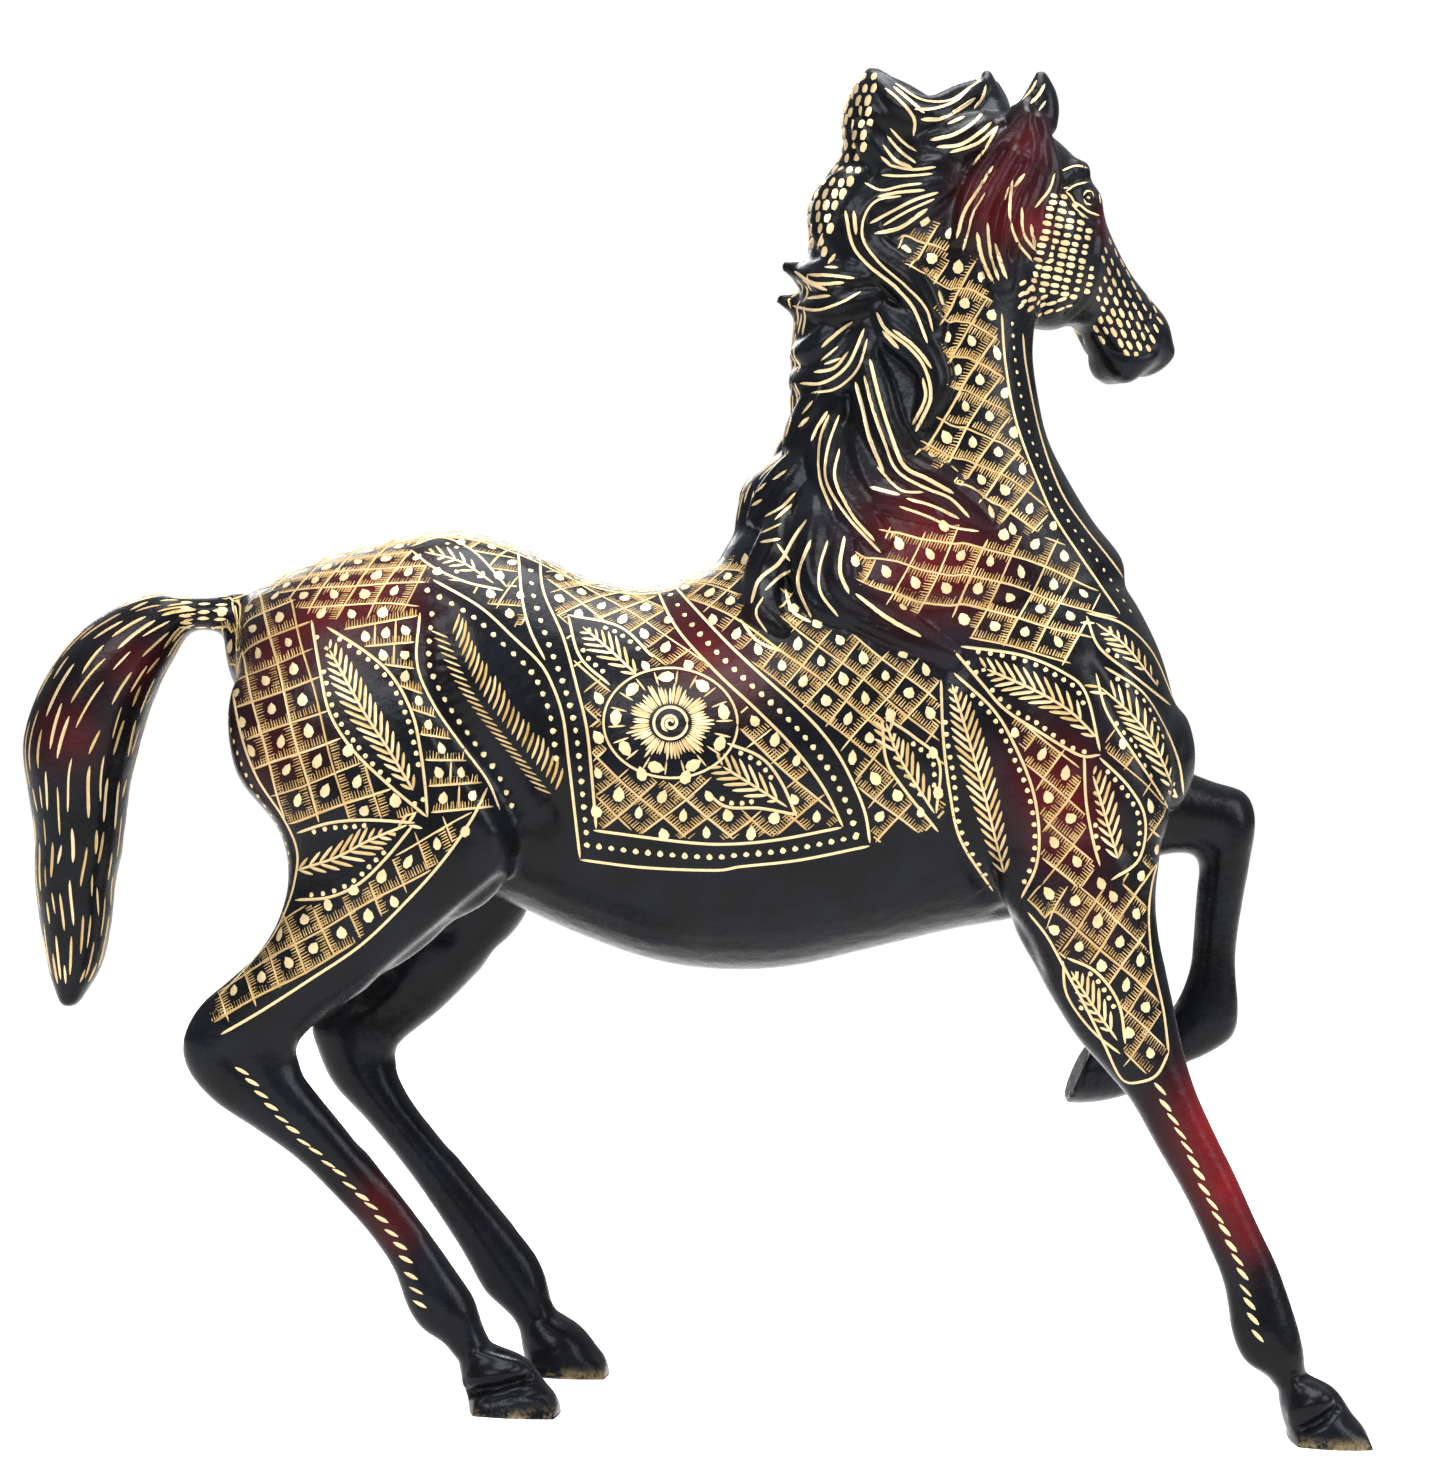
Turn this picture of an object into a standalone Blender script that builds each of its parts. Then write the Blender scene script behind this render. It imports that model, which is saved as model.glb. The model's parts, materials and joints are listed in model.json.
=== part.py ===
"""A cast brass horse, prancing, with one foreleg raised and its head turned to its left.

The statue is an assembly of brass castings: two hollow trunk shells, two hollow neck shells with
the mane cast on, a solid head, a solid tail and four solid legs.  Every limb has a round spigot
that sits in a socket of its shell, and a ring of braze metal fills the groove round each joint.

Frame: +X is the way the horse faces, +Y its left side, +Z up.  Lengths in the tables are
millimetres in the sculptor's layout; the finished model is metres, with its origin on the
ground under the middle of its box.
"""

import math

import bmesh
import bpy
import numpy as np
from mathutils import Matrix, Vector
from mathutils.bvhtree import BVHTree

MM = 0.001
WALL = 3.6            # thickness of the hollow castings
GAP = 0.3             # clearance between neighbouring castings
BRAZE = 1.4           # width of the braze metal in a joint's groove
SOCKET_CLEARANCE = 0.3
GROUND = 2.2          # height of the ground in the layout tables
VOXEL = 2.6           # grain at which the sculpted masses are blended into one skin
CAVITY_VOXEL = 5.0
SKIN_TRIANGLES = 6600
CAVITY_TRIANGLES = 1100
RING_SIDES = 28
STEPS = 5             # interpolated rings between two stations

HEAD_TURN = math.radians(37)
HEAD_PIVOT = (80.0, 1.0)

BRASS = (0.045, 0.04, 0.042)
BRAZE_COLOUR = (0.62, 0.45, 0.2)

# A station is one cross-section of a mass: the two ends of its axis in the XZ plane,
# its Y, and its half thickness across: (x1, z1, x2, z2, y, half).
TRUNK = [
    (-145, 233, -144, 206, 0, 12),
    (-138, 238.5, -138, 190, 0, 27),
    (-122, 247, -122, 172, 0, 38),
    (-100, 254, -102, 160, 0, 42),
    (-80, 257, -80, 152, 0, 42),
    (-60, 252, -62, 147, 0, 40),
    (-40, 244, -42, 139, 0, 40),
    (-20, 243, -20, 132, 0, 41.5),
    (0, 252, 0, 129.5, 0, 43),
    (22, 261, 22, 131, 0, 43),
    (45, 263, 45, 137, 0, 42),
    (70, 263, 70, 144, 0, 41),
    (95, 260, 92, 149, 0, 40),
    (114, 252, 110, 157, 0, 37),
    (127, 233, 124, 167, 0, 28),
    (134, 214, 132, 181, 0, 15),
]
NECK = [
    (118, 246, -8, 238, 0, 36),
    (117, 256, -2, 254, 0, 34),
    (108, 267, 8, 270, 0, 30),
    (100, 279, 19, 286, 0, 26.5),
    (93.5, 291, 23, 300, 0, 24),
    (90, 304, 24, 314, 0, 22),
    (88, 317, 25, 329, 0, 20.5),
    (89, 331, 29, 346, 0, 19.5),
    (91, 345, 34, 362, 0, 18.5),
    (91, 360, 43, 377, 1, 17),
    (88, 372, 54, 386, 1, 14),
]
# The head is laid out facing +X and then turned about its pivot.
HEAD = [
    (76, 386, 70, 338, 1, 13),
    (86, 385, 80, 331, 1, 16.5),
    (95, 381, 89, 326, 1, 18),
    (103, 374, 97, 325, 1, 18),
    (110, 363.5, 104, 327, 1, 14.5),
    (117, 355, 111, 326.5, 1, 12),
    (125.5, 346.5, 116, 320, 1, 11),
    (134.5, 339.5, 120, 314.5, 1, 11.3),
    (141.5, 334, 126, 312, 1, 11),
    (145, 327, 134.5, 314.5, 1, 8.5),
]
EAR = [
    (85, 382, 74, 382, 0, 6.5),
    (86, 388, 74.5, 388, 0, 6.2),
    (85, 393.5, 76, 393.5, 0, 4.6),
    (82, 398.5, 78.5, 398.5, 0, 2),
]
TAIL = [
    (-144, 237, -146, 222, 0, 8.5),
    (-153, 235, -153, 224.5, 0, 8),
    (-162, 234.5, -160, 223.5, 0, 8.5),
    (-171, 235, -165, 215, 0, 11),
    (-182, 230.5, -169, 206, 0, 14),
    (-194, 221, -172, 197, 0, 16),
    (-203, 207, -174, 188, 0, 17),
    (-208, 190, -176, 178, 0, 16.5),
    (-206, 175, -177, 167, 0, 15.5),
    (-203.5, 162, -178, 156, 0, 14.5),
    (-203, 149, -179.5, 147, 0, 13.5),
    (-201, 136, -180, 136, 0, 12),
    (-198, 122, -182.5, 123, 0, 9.5),
    (-194.5, 112, -188, 113, 0, 5),
]
RIGHT_THIGH = [
    (-66, 222, -128, 228, -20, 18),
    (-58, 200, -143, 208, -24, 20),
    (-55, 180, -141, 184, -27, 20.5),
    (-56, 163, -128, 168, -29, 19),
    (-64, 150, -124, 155, -30, 17),
    (-76, 141, -126, 142, -30, 15),
    (-88, 131, -132, 131, -30, 13),
    (-102, 120.5, -140, 123, -30, 11.5),
    (-113, 112.5, -148, 115.5, -30, 10),
    (-119, 106, -152.5, 106, -30, 9.5),
    (-119.5, 101, -151, 97, -30, 9.3),
    (-117.5, 96.5, -143, 88, -30, 9),
    (-113.5, 91.5, -130, 80, -30, 8.5),
    (-106, 83, -118, 72, -30, 7.6),
    (-96.5, 72, -107, 62, -30, 7),
    (-87, 61.5, -97.5, 52.5, -30, 7),
    (-77.5, 50, -89.5, 42, -30, 7.3),
    (-70.5, 41, -85, 31.5, -31, 8.2),
    (-65.5, 34, -80.5, 25, -31, 8.3),
    (-62.5, 26, -74, 21, -31, 7.2),
    (-60, 21, -70.5, 17, -31, 7.2),
]
RIGHT_HIND_HOOF = [
    (-59.5, 21, -69.5, 17, -31, 7.5),
    (-49.5, 17, -68.5, 12.5, -31, 10.5),
    (-44, 10.5, -67, 8, -31, 12),
    (-39.5, 4, -65.5, 2, -31, 13),
    (-37, -4, -65, -4, -31, 13.5),
]
LEFT_THIGH = [
    (-66, 222, -128, 228, 20, 18),
    (-56, 200, -143, 208, 24, 20),
    (-50, 180, -138, 184, 27, 20.5),
    (-49, 163, -118, 166, 29, 18.5),
    (-53, 151, -105, 151, 30, 16.5),
    (-59, 140, -102, 139, 30, 14.5),
    (-69, 127.5, -106, 125, 30, 13),
    (-82.5, 112.5, -115, 114, 30, 11.5),
    (-95, 101.5, -122.5, 106.5, 30, 9.8),
    (-97, 96, -120.5, 98, 30, 9.3),
    (-95, 90, -115, 87.5, 30, 9),
    (-90, 82, -104.5, 77, 30, 8.2),
    (-81, 71.5, -93, 64, 30, 7.4),
    (-70.5, 59.5, -83, 51, 30, 7),
    (-60, 48, -73.5, 37.5, 30, 7.3),
    (-51.5, 38, -67, 26.5, 31, 8.2),
    (-47.5, 30, -61.5, 21.5, 31, 7.9),
    (-46, 24, -57.5, 18, 31, 7.2),
    (-44, 20.5, -55.5, 14.5, 31, 7.2),
]
LEFT_HIND_HOOF = [
    (-44, 20.5, -55.5, 15, 31, 7.5),
    (-37, 16.5, -54.5, 10, 31, 10.5),
    (-31.5, 10.5, -53.5, 6, 31, 12),
    (-27.5, 4, -52.5, 1, 31, 13),
    (-25, -4, -52, -4, 31, 13.5),
]
SHOULDER = [
    (112, 236, 60, 240, 17, 15),
    (124, 217, 64, 222, 22, 18),
    (131, 197, 68, 200, 25, 19),
    (130, 178, 74, 178, 27, 18),
    (124, 164, 82, 163, 27, 15),
]
RIGHT_FORELEG = [
    (129, 186, 76, 184, -26, 16),
    (128, 171, 78, 168, -28, 16.5),
    (127, 158, 83, 153, -29, 16),
    (128, 147, 90, 140, -30, 14.5),
    (131, 135, 98, 127, -30, 12.5),
    (134.5, 121.5, 105.5, 116, -30, 11),
    (137, 112, 113.5, 107.5, -30, 10),
    (141, 101, 122, 98, -30, 9.2),
    (146.5, 90, 130, 85, -30, 8.2),
    (153, 78, 138.5, 71.5, -30, 7.4),
    (160, 64, 146, 57, -30, 7),
    (166.5, 51.5, 151, 45.5, -30, 7.3),
    (172, 37, 153.5, 32.5, -31, 8.2),
    (174.5, 28.5, 157.5, 24.5, -31, 8.3),
    (175, 23.5, 164, 20.5, -31, 7.2),
    (176, 20, 167, 17, -31, 7.2),
]
RIGHT_FORE_HOOF = [
    (177, 21, 167.5, 18, -31, 7.5),
    (184, 17.5, 168, 13, -31, 10.5),
    (189, 11, 169.5, 7.5, -31, 12),
    (194, 4, 171.5, 2, -31, 13),
    (197.5, -4, 173, -4, -31, 13.5),
]
LEFT_FORELEG = [
    (104, 207, 98, 165, 26, 16),
    (124, 202, 118, 163, 28, 15),
    (140, 195, 135, 167, 30, 12.5),
    (151, 191, 144, 168.5, 30.5, 10.8),
    (161, 188, 147, 167, 31, 10),
    (164.5, 180, 148, 163, 31, 9.3),
    (163.5, 168, 147.5, 158, 31, 8.2),
    (161.3, 152, 147, 148, 31, 7.4),
    (160, 137, 146.5, 135, 31, 7.2),
    (161.5, 122, 144, 126, 31, 7.9),
    (160.5, 113.5, 141, 120.5, 31, 8.2),
    (154, 108, 137.5, 117, 31, 7.5),
    (146, 104, 133, 114, 31, 7.1),
    (137, 100, 128.5, 112.5, 31, 7.1),
]
LEFT_FORE_HOOF = [
    (136, 97.5, 129.5, 113.5, 31, 8),
    (126, 93, 123, 113, 30, 10.5),
    (116, 91, 118, 111, 29, 12),
    (108.5, 91, 115.5, 109, 28, 12.8),
]
CREST = [
    (60, 388, 62, 378, 0, 9),
    (46, 396, 56, 376, 0, 11),
    (35, 398, 46, 370, 0, 11),
    (28.5, 388, 44, 360, 0, 12),
    (28, 374, 46, 352, 0, 13),
    (19.5, 360, 42, 344, 0, 13.5),
    (20, 346, 40, 335, 0, 14),
    (17.5, 332, 40, 322, 0, 14.5),
    (16, 316, 38, 310, 0, 15),
    (16.5, 300, 38, 297, 0, 15.5),
    (15, 286, 38, 284, 0, 16),
    (4, 275, 30, 270, 0, 15),
    (1, 262, 26, 256, 0, 13),
]
# A lock of the mane lies on the side of the neck: (x, z, radius) along it, root to tip.
SIDE_LOCKS = [
    [(66, 393, 5), (54, 385, 6), (44, 381, 6), (36, 390, 5), (34, 397, 3)],
    [(74, 388, 5), (66, 376, 6), (52, 372, 6), (38, 368, 5), (30, 372, 3)],
    [(62, 368, 4), (46, 363, 6), (34, 354, 6), (38, 341, 6), (52, 330, 5.5), (58, 318, 4), (56, 309, 2)],
    [(36, 336, 5), (44, 324, 6), (56, 311, 6), (59, 299, 5), (53, 288, 2)],
    [(34, 326, 5), (38, 306, 6), (44, 289, 6.5), (54, 279, 6), (66, 274, 5), (77, 265, 2)],
    [(26, 306, 5), (27, 288, 6), (29, 274, 6), (36, 264, 5), (45, 256, 2)],
    [(18, 276, 5), (26, 258, 6.5), (32, 243, 7), (46, 233, 6), (65, 223, 2)],
    [(10, 268, 5), (12, 252, 6), (18, 240, 6), (32, 230, 2.5)],
    [(84, 386, 5), (78, 371, 7), (70, 358, 6.5), (64, 343, 2.5)],
    [(86, 384, 5), (85, 368, 7), (86, 354, 6), (90, 343, 2.5)],
    [(80, 380, 5), (77, 362, 7), (77, 347, 5.5), (79, 333, 2.5)],
]
NAPE_SPIKES = [
    [(34, 346, 6), (24, 340, 5), (14, 338.5, 1.6)],
    [(34, 334, 6), (24, 329.5, 5), (12.5, 329, 1.6)],
]
# Where each limb leaves its shell.  "line" is the joint seen from the side, its shell on the
# left of the line's direction; "around" closes the outline round the limb; "reach" is its Y span.
JOINTS = {
    "right_hind_leg": {
        "line": ((-140, 154), (-70, 113.8)),
        "around": ((-20, 60), (-20, -20), (-173, -20), (-173, 154)),
        "reach": (-60, -GAP / 2),
        "spigot": ((-110.5, -30, 137), 7.5, 14),
    },
    "left_hind_leg": {
        "line": ((-120, 153.3), (-48, 106.8)),
        "around": ((-15, 60), (-15, -20), (-140, -20), (-140, 153.3)),
        "reach": (GAP / 2, 60),
        "spigot": ((-89, 30, 133.3), 7.5, 14),
    },
    "right_foreleg": {
        "line": ((76, 129.5), (146, 155.5)),
        "around": ((215, 60), (215, -20), (76, -20)),
        "reach": (-60, -GAP / 2),
        "spigot": ((111, -30, 142.5), 7.5, 14),
    },
    "left_foreleg": {
        "line": ((139, 160), (145, 210)),
        "around": ((180, 210), (180, 70), (95, 70), (95, 130), (128, 140)),
        "reach": (10, 60),
        "spigot": ((141.5, 30, 181), 6.5, 14),
    },
    "tail": {
        "line": ((-153.5, 245), (-153.5, 215)),
        "around": ((-170, 190), (-174, 90), (-225, 90), (-225, 245)),
        "reach": (-40, 40),
        "spigot": ((-153.5, 0, 229.7), 3, 9),
    },
    "head": {
        "line": ((90.5, 320), (58, 405)),
        "around": ((150, 405), (150, 295), (98, 295)),
        "reach": (-60, 80),
        "spigot": ((75.5, 0.5, 359), 8, 16),
    },
    "neck": {
        "line": ((-30, 259), (140, 262.5)),
        "around": ((140, 420), (-30, 420)),
        "reach": (-60, 60),
    },
}


def mesh_object(name, mesh):
    obj = bpy.data.objects.new(name, mesh)
    bpy.context.scene.collection.objects.link(obj)
    return obj


def smooth_rows(rows, steps):
    """Catmull-Rom curve through the rows of a table, with `steps` spans between neighbours."""
    pts = np.array(rows, float)
    pts = np.vstack([2 * pts[0] - pts[1], pts, 2 * pts[-1] - pts[-2]])
    out = []
    for i in range(1, len(pts) - 2):
        a, b, c, d = pts[i - 1:i + 3]
        for t in np.arange(steps) / steps:
            out.append(0.5 * (2 * b + (c - a) * t + (2 * a - 5 * b + 4 * c - d) * t**2
                              + (3 * b - a - 3 * c + d) * t**3))
    out.append(pts[-2])
    return np.array(out)


def loft(stations, steps=STEPS, flat_end=False):
    """A closed mass through elliptical stations, with domed ends, as (points, faces) in millimetres."""
    rows = smooth_rows(stations, steps)
    ends = np.stack([rows[:, [0, 1]], rows[:, [2, 3]]])
    centre = np.column_stack([ends.mean(0)[:, 0], rows[:, 4], ends.mean(0)[:, 1]])
    half = (ends[0] - ends[1]) / 2
    axis = np.column_stack([half[:, 0], np.zeros(len(rows)), half[:, 1]])
    across = np.column_stack([np.zeros(len(rows)), rows[:, 5], np.zeros(len(rows))])

    def cap(i, inner):
        """Rings that close an end like a dome about half as deep as it is wide."""
        out = centre[i] - centre[inner]
        depth = 0.55 * min(np.linalg.norm(axis[i]), rows[i, 5])
        out = out / np.linalg.norm(out) * depth
        angles = np.radians([30, 58, 80])
        return [(centre[i] + out * math.sin(a), axis[i] * math.cos(a), across[i] * math.cos(a)) for a in angles]

    rings = list(zip(centre, axis, across))
    rings = cap(0, 1)[::-1] + rings
    if not flat_end:
        rings += cap(len(centre) - 1, len(centre) - 2)
    turn = np.linspace(0, 2 * math.pi, RING_SIDES, endpoint=False)[:, None]
    points = np.vstack([c + a * np.cos(turn) + b * np.sin(turn) for c, a, b in rings])
    faces = []
    for r in range(len(rings) - 1):
        for s in range(RING_SIDES):
            n = (s + 1) % RING_SIDES
            low, high = r * RING_SIDES, (r + 1) * RING_SIDES
            faces.append((low + s, low + n, high + n, high + s))
    faces.append(tuple(range(RING_SIDES))[::-1])
    faces.append(tuple(range(len(points) - RING_SIDES, len(points))))
    return points, faces


def tube(path, y_of):
    """A round tapered lock through (x, z, radius) points, at the Y that y_of gives for (x, z, radius)."""
    rows = smooth_rows([(x, y_of(x, z, r), z, r) for x, z, r in path], STEPS)
    points, faces, sides = [], [], 12
    for i, (x, y, z, r) in enumerate(rows):
        along = Vector(rows[min(i + 1, len(rows) - 1)][:3] - rows[max(i - 1, 0)][:3]).normalized()
        side = along.cross(Vector((0, 1, 0))).normalized()
        up = side.cross(along)
        for k in range(sides):
            angle = 2 * math.pi * k / sides
            points.append(np.array((x, y, z)) + r * (math.cos(angle) * np.array(side) + math.sin(angle) * np.array(up)))
    for r in range(len(rows) - 1):
        for s in range(sides):
            n = (s + 1) % sides
            faces.append((r * sides + s, r * sides + n, (r + 1) * sides + n, (r + 1) * sides + s))
    faces.append(tuple(range(sides))[::-1])
    faces.append(tuple(range(len(points) - sides, len(points))))
    return np.array(points), faces


def turned_head(points):
    """The head's points turned to the horse's left about the pivot."""
    c, s = math.cos(HEAD_TURN), math.sin(HEAD_TURN)
    out = points.copy()
    dx, dy = points[:, 0] - HEAD_PIVOT[0], points[:, 1] - HEAD_PIVOT[1]
    out[:, 0] = HEAD_PIVOT[0] + c * dx - s * dy
    out[:, 1] = HEAD_PIVOT[1] + s * dx + c * dy
    return out


def mirrored(stations, side):
    return [(*row[:4], side * row[4], row[5]) for row in stations]


def joined(pieces):
    """One bmesh of several (points, faces) shapes, every shape closed and facing out."""
    whole = bmesh.new()
    for points, faces in pieces:
        verts = [whole.verts.new(p) for p in points]
        for face in faces:
            whole.faces.new([verts[i] for i in face])
    bmesh.ops.recalc_face_normals(whole, faces=whole.faces)
    return whole


def evaluated(obj):
    graph = bpy.context.evaluated_depsgraph_get()
    return bpy.data.meshes.new_from_object(obj.evaluated_get(graph))


def with_modifiers(mesh, settings):
    """The mesh after a stack of modifiers: (type, {property: value}) pairs."""
    obj = mesh_object("working_copy", mesh)
    for kind, values in settings:
        modifier = obj.modifiers.new(kind.lower(), kind)
        for key, value in values.items():
            setattr(modifier, key, value)
    bpy.context.view_layer.update()
    made = evaluated(obj)
    bpy.data.objects.remove(obj)
    return made


def side_of(tree):
    """Gives y_of functions that lay a lock on the right (-1) or left (+1) face of the neck."""
    def for_side(side):
        def y_of(x, z, radius):
            start = Vector((x, side * 200, z))
            hit = tree.ray_cast(start, Vector((0, -side, 0)))[0]
            return (hit.y - side * 0.35 * radius) if hit else side * radius
        return y_of
    return for_side


def sculpted_skin():
    """Every mass of the horse, blended into one closed skin."""
    body = [loft(TRUNK), loft(NECK)]
    head = [loft(HEAD)]
    head = [(turned_head(points), faces) for points, faces in head]
    for side in (-1, 1):
        ear = [(*row[:4], HEAD_PIVOT[1] + side * 10.5, row[5]) for row in EAR]
        points, faces = loft(ear)
        head.append((turned_head(points), faces))
    crest = loft(CREST)
    under = joined(body + head + [crest])
    tree = BVHTree.FromBMesh(under)
    under.free()
    lay = side_of(tree)
    locks = []
    for side in (-1, 1):
        for lock in SIDE_LOCKS:
            locks.append(tube(lock, lay(side)))
    for spike in NAPE_SPIKES:
        locks.append(tube(spike, lambda x, z, r: 0.0))
    limbs = [loft(mirrored(SHOULDER, side)) for side in (-1, 1)]
    limbs += [loft(t) for t in (TAIL, RIGHT_THIGH, LEFT_THIGH, RIGHT_FORELEG, LEFT_FORELEG)]
    limbs += [loft(t) for t in (RIGHT_HIND_HOOF, LEFT_HIND_HOOF, RIGHT_FORE_HOOF)]
    limbs.append(loft(LEFT_FORE_HOOF, flat_end=True))
    whole = joined(body + head + [crest] + locks + limbs)
    mesh = bpy.data.meshes.new("masses")
    whole.to_mesh(mesh)
    whole.free()
    return with_modifiers(mesh, [
        ("REMESH", {"mode": "VOXEL", "voxel_size": VOXEL, "adaptivity": 0.0}),
        ("SMOOTH", {"factor": 0.5, "iterations": 4}),
    ])


def reduced(mesh, triangles):
    now = sum(len(p.vertices) - 2 for p in mesh.polygons)
    return with_modifiers(mesh, [("DECIMATE", {"ratio": min(1.0, triangles / now)})])


def shrunk(mesh, depth):
    """A copy of the skin moved inwards, for the hollow of the castings."""
    inner = mesh.copy()
    normals = [v.normal.copy() for v in inner.vertices]
    for v, normal in zip(inner.vertices, normals):
        v.co -= normal * depth
    inner.update()
    return with_modifiers(inner, [
        ("REMESH", {"mode": "VOXEL", "voxel_size": CAVITY_VOXEL, "adaptivity": 0.0}),
        ("SMOOTH", {"factor": 0.5, "iterations": 3}),
    ])


def prism(outline, low_y, high_y):
    """A cutter: an outline in the XZ plane, extruded across."""
    shape = bmesh.new()
    verts = [shape.verts.new((x, low_y, z)) for x, z in outline]
    face = shape.faces.new(verts)
    made = bmesh.ops.extrude_face_region(shape, geom=[face])
    moved = [e for e in made["geom"] if isinstance(e, bmesh.types.BMVert)]
    bmesh.ops.translate(shape, verts=moved, vec=(0, high_y - low_y, 0))
    bmesh.ops.recalc_face_normals(shape, faces=shape.faces)
    mesh = bpy.data.meshes.new("prism")
    shape.to_mesh(mesh)
    shape.free()
    return mesh


def into_shell(joint):
    """Unit vector in the XZ plane, square to the joint's line, that points into the shell."""
    (x1, z1), (x2, z2) = joint["line"]
    along = Vector((x2 - x1, z2 - z1)).normalized()
    normal = Vector((-along.y, along.x))
    far = Vector(joint["around"][1]) - Vector(joint["line"][0])
    return -normal if normal.dot(far) > 0 else normal


def limb_outline(joint, shift):
    """The outline round a limb, with its joint line moved towards the shell by shift."""
    n = into_shell(joint) * shift
    return [(x + n.x, z + n.y) for x, z in joint["line"]] + list(joint["around"])


def slab_outline(joint, near, far):
    """The strip between two lines parallel to the joint."""
    n = into_shell(joint)
    first = [(x + n.x * near, z + n.y * near) for x, z in joint["line"]]
    second = [(x + n.x * far, z + n.y * far) for x, z in joint["line"]]
    return first + second[::-1]


def cylinder(joint, extra_radius, start, end):
    """A round bar about the joint's spigot axis, from start to end along it, into the shell."""
    (x, y, z), radius, _ = joint["spigot"]
    n = into_shell(joint)
    axis = Vector((n.x, 0, n.y))
    shape = bmesh.new()
    bmesh.ops.create_cone(shape, cap_ends=True, segments=24, radius1=radius + extra_radius,
                          radius2=radius + extra_radius, depth=end - start)
    place = Matrix.Translation(Vector((x, y, z)) + axis * (start + end) / 2)
    shape.transform(place @ axis.to_track_quat("Z", "Y").to_matrix().to_4x4())
    mesh = bpy.data.meshes.new("bar")
    shape.to_mesh(mesh)
    shape.free()
    return mesh


def combined(mesh, steps):
    """The mesh after Booleans, each (operation, mesh)."""
    base = mesh_object("combining", mesh)
    helpers = []
    for operation, other in steps:
        helper = mesh_object("cutter", other)
        helpers.append(helper)
        modifier = base.modifiers.new("boolean", "BOOLEAN")
        modifier.operation = operation
        modifier.solver = "EXACT"
        modifier.object = helper
    bpy.context.view_layer.update()
    made = evaluated(base)
    for obj in helpers + [base]:
        bpy.data.objects.remove(obj)
    return made


def largest_body(mesh):
    """The mesh without any crumb that a cut left loose."""
    work = bmesh.new()
    work.from_mesh(mesh)
    left, groups = set(work.verts), []
    while left:
        group, queue = set(), [left.pop()]
        while queue:
            v = queue.pop()
            group.add(v)
            for e in v.link_edges:
                other = e.other_vert(v)
                if other in left:
                    left.discard(other)
                    queue.append(other)
        groups.append(group)
    groups.sort(key=len)
    for group in groups[:-1]:
        bmesh.ops.delete(work, geom=list(group), context="VERTS")
    work.to_mesh(mesh)
    work.free()
    return mesh


def material(name, colour, roughness, metallic):
    made = bpy.data.materials.new(name)
    made.use_nodes = True
    shader = made.node_tree.nodes["Principled BSDF"]
    shader.inputs["Base Color"].default_value = (*colour, 1)
    shader.inputs["Roughness"].default_value = roughness
    shader.inputs["Metallic"].default_value = metallic
    made.diffuse_color = (*colour, 1)
    return made


def limb_casting(skin, name):
    """A solid casting beyond its joint, with its spigot, and flat where it stands."""
    joint = JOINTS[name]
    steps = [("INTERSECT", prism(limb_outline(joint, 0), *joint["reach"]))]
    if joint["line"][0][1] < 200 and name != "left_foreleg":
        steps.append(("DIFFERENCE", prism([(-400, GROUND), (400, GROUND), (400, -60), (-400, -60)], -100, 100)))
    length = joint["spigot"][2]
    steps.append(("UNION", cylinder(joint, 0, -6, length)))
    return combined(skin.copy(), steps)


def braze_ring(skin, cavity, name):
    """The braze metal in the groove between two castings: round the spigot, or round the hollow neck."""
    joint = JOINTS[name]
    steps = [("INTERSECT", prism(slab_outline(joint, GAP, GAP + BRAZE), *joint["reach"]))]
    if "spigot" in joint:
        steps.append(("DIFFERENCE", cylinder(joint, SOCKET_CLEARANCE, -5, 10)))
    else:
        steps.append(("DIFFERENCE", cavity.copy()))
    return combined(skin.copy(), steps)


def shell_halves(skin, cavity, kind):
    """The right and left half of the hollow trunk or neck.  The hollow runs through the neck joint."""
    past_braze = 2 * GAP + BRAZE
    neck = JOINTS["neck"]
    if kind == "neck":
        limbs = ["head"]
        steps = [("INTERSECT", prism(limb_outline(neck, 0), -90, 90))]
    else:
        limbs = [name for name in JOINTS if name not in ("head", "neck")]
        steps = [("DIFFERENCE", prism(limb_outline(neck, past_braze), -90, 90))]
    hollow = []
    for name in limbs:
        limb = JOINTS[name]
        steps.append(("DIFFERENCE", prism(limb_outline(limb, past_braze), *limb["reach"])))
        steps.append(("DIFFERENCE", cylinder(limb, SOCKET_CLEARANCE, -5, limb["spigot"][2] + GAP)))
        hollow.append(("DIFFERENCE", prism(limb_outline(limb, past_braze + WALL), *limb["reach"])))
    room = largest_body(combined(cavity.copy(), hollow))
    whole = combined(skin.copy(), steps + [("DIFFERENCE", room)])
    halves = {}
    for side, word in ((-1, "right"), (1, "left")):
        block = sorted((side * GAP / 2, side * 120))
        half = prism([(-400, -50), (400, -50), (400, 450), (-400, 450)], *block)
        halves[word] = combined(whole.copy(), [("INTERSECT", half)])
    return halves


def place(name, mesh, finish, shift):
    """A finished piece as an object in metres, in the part's own frame."""
    largest_body(mesh)
    mesh.transform(Matrix.Translation(shift))
    mesh.transform(Matrix.Scale(MM, 4))
    mesh.materials.clear()
    mesh.materials.append(finish)
    mesh.name = name
    mesh.shade_smooth()
    mesh.set_sharp_from_angle(angle=math.radians(35))
    return mesh_object(name, mesh)


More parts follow.
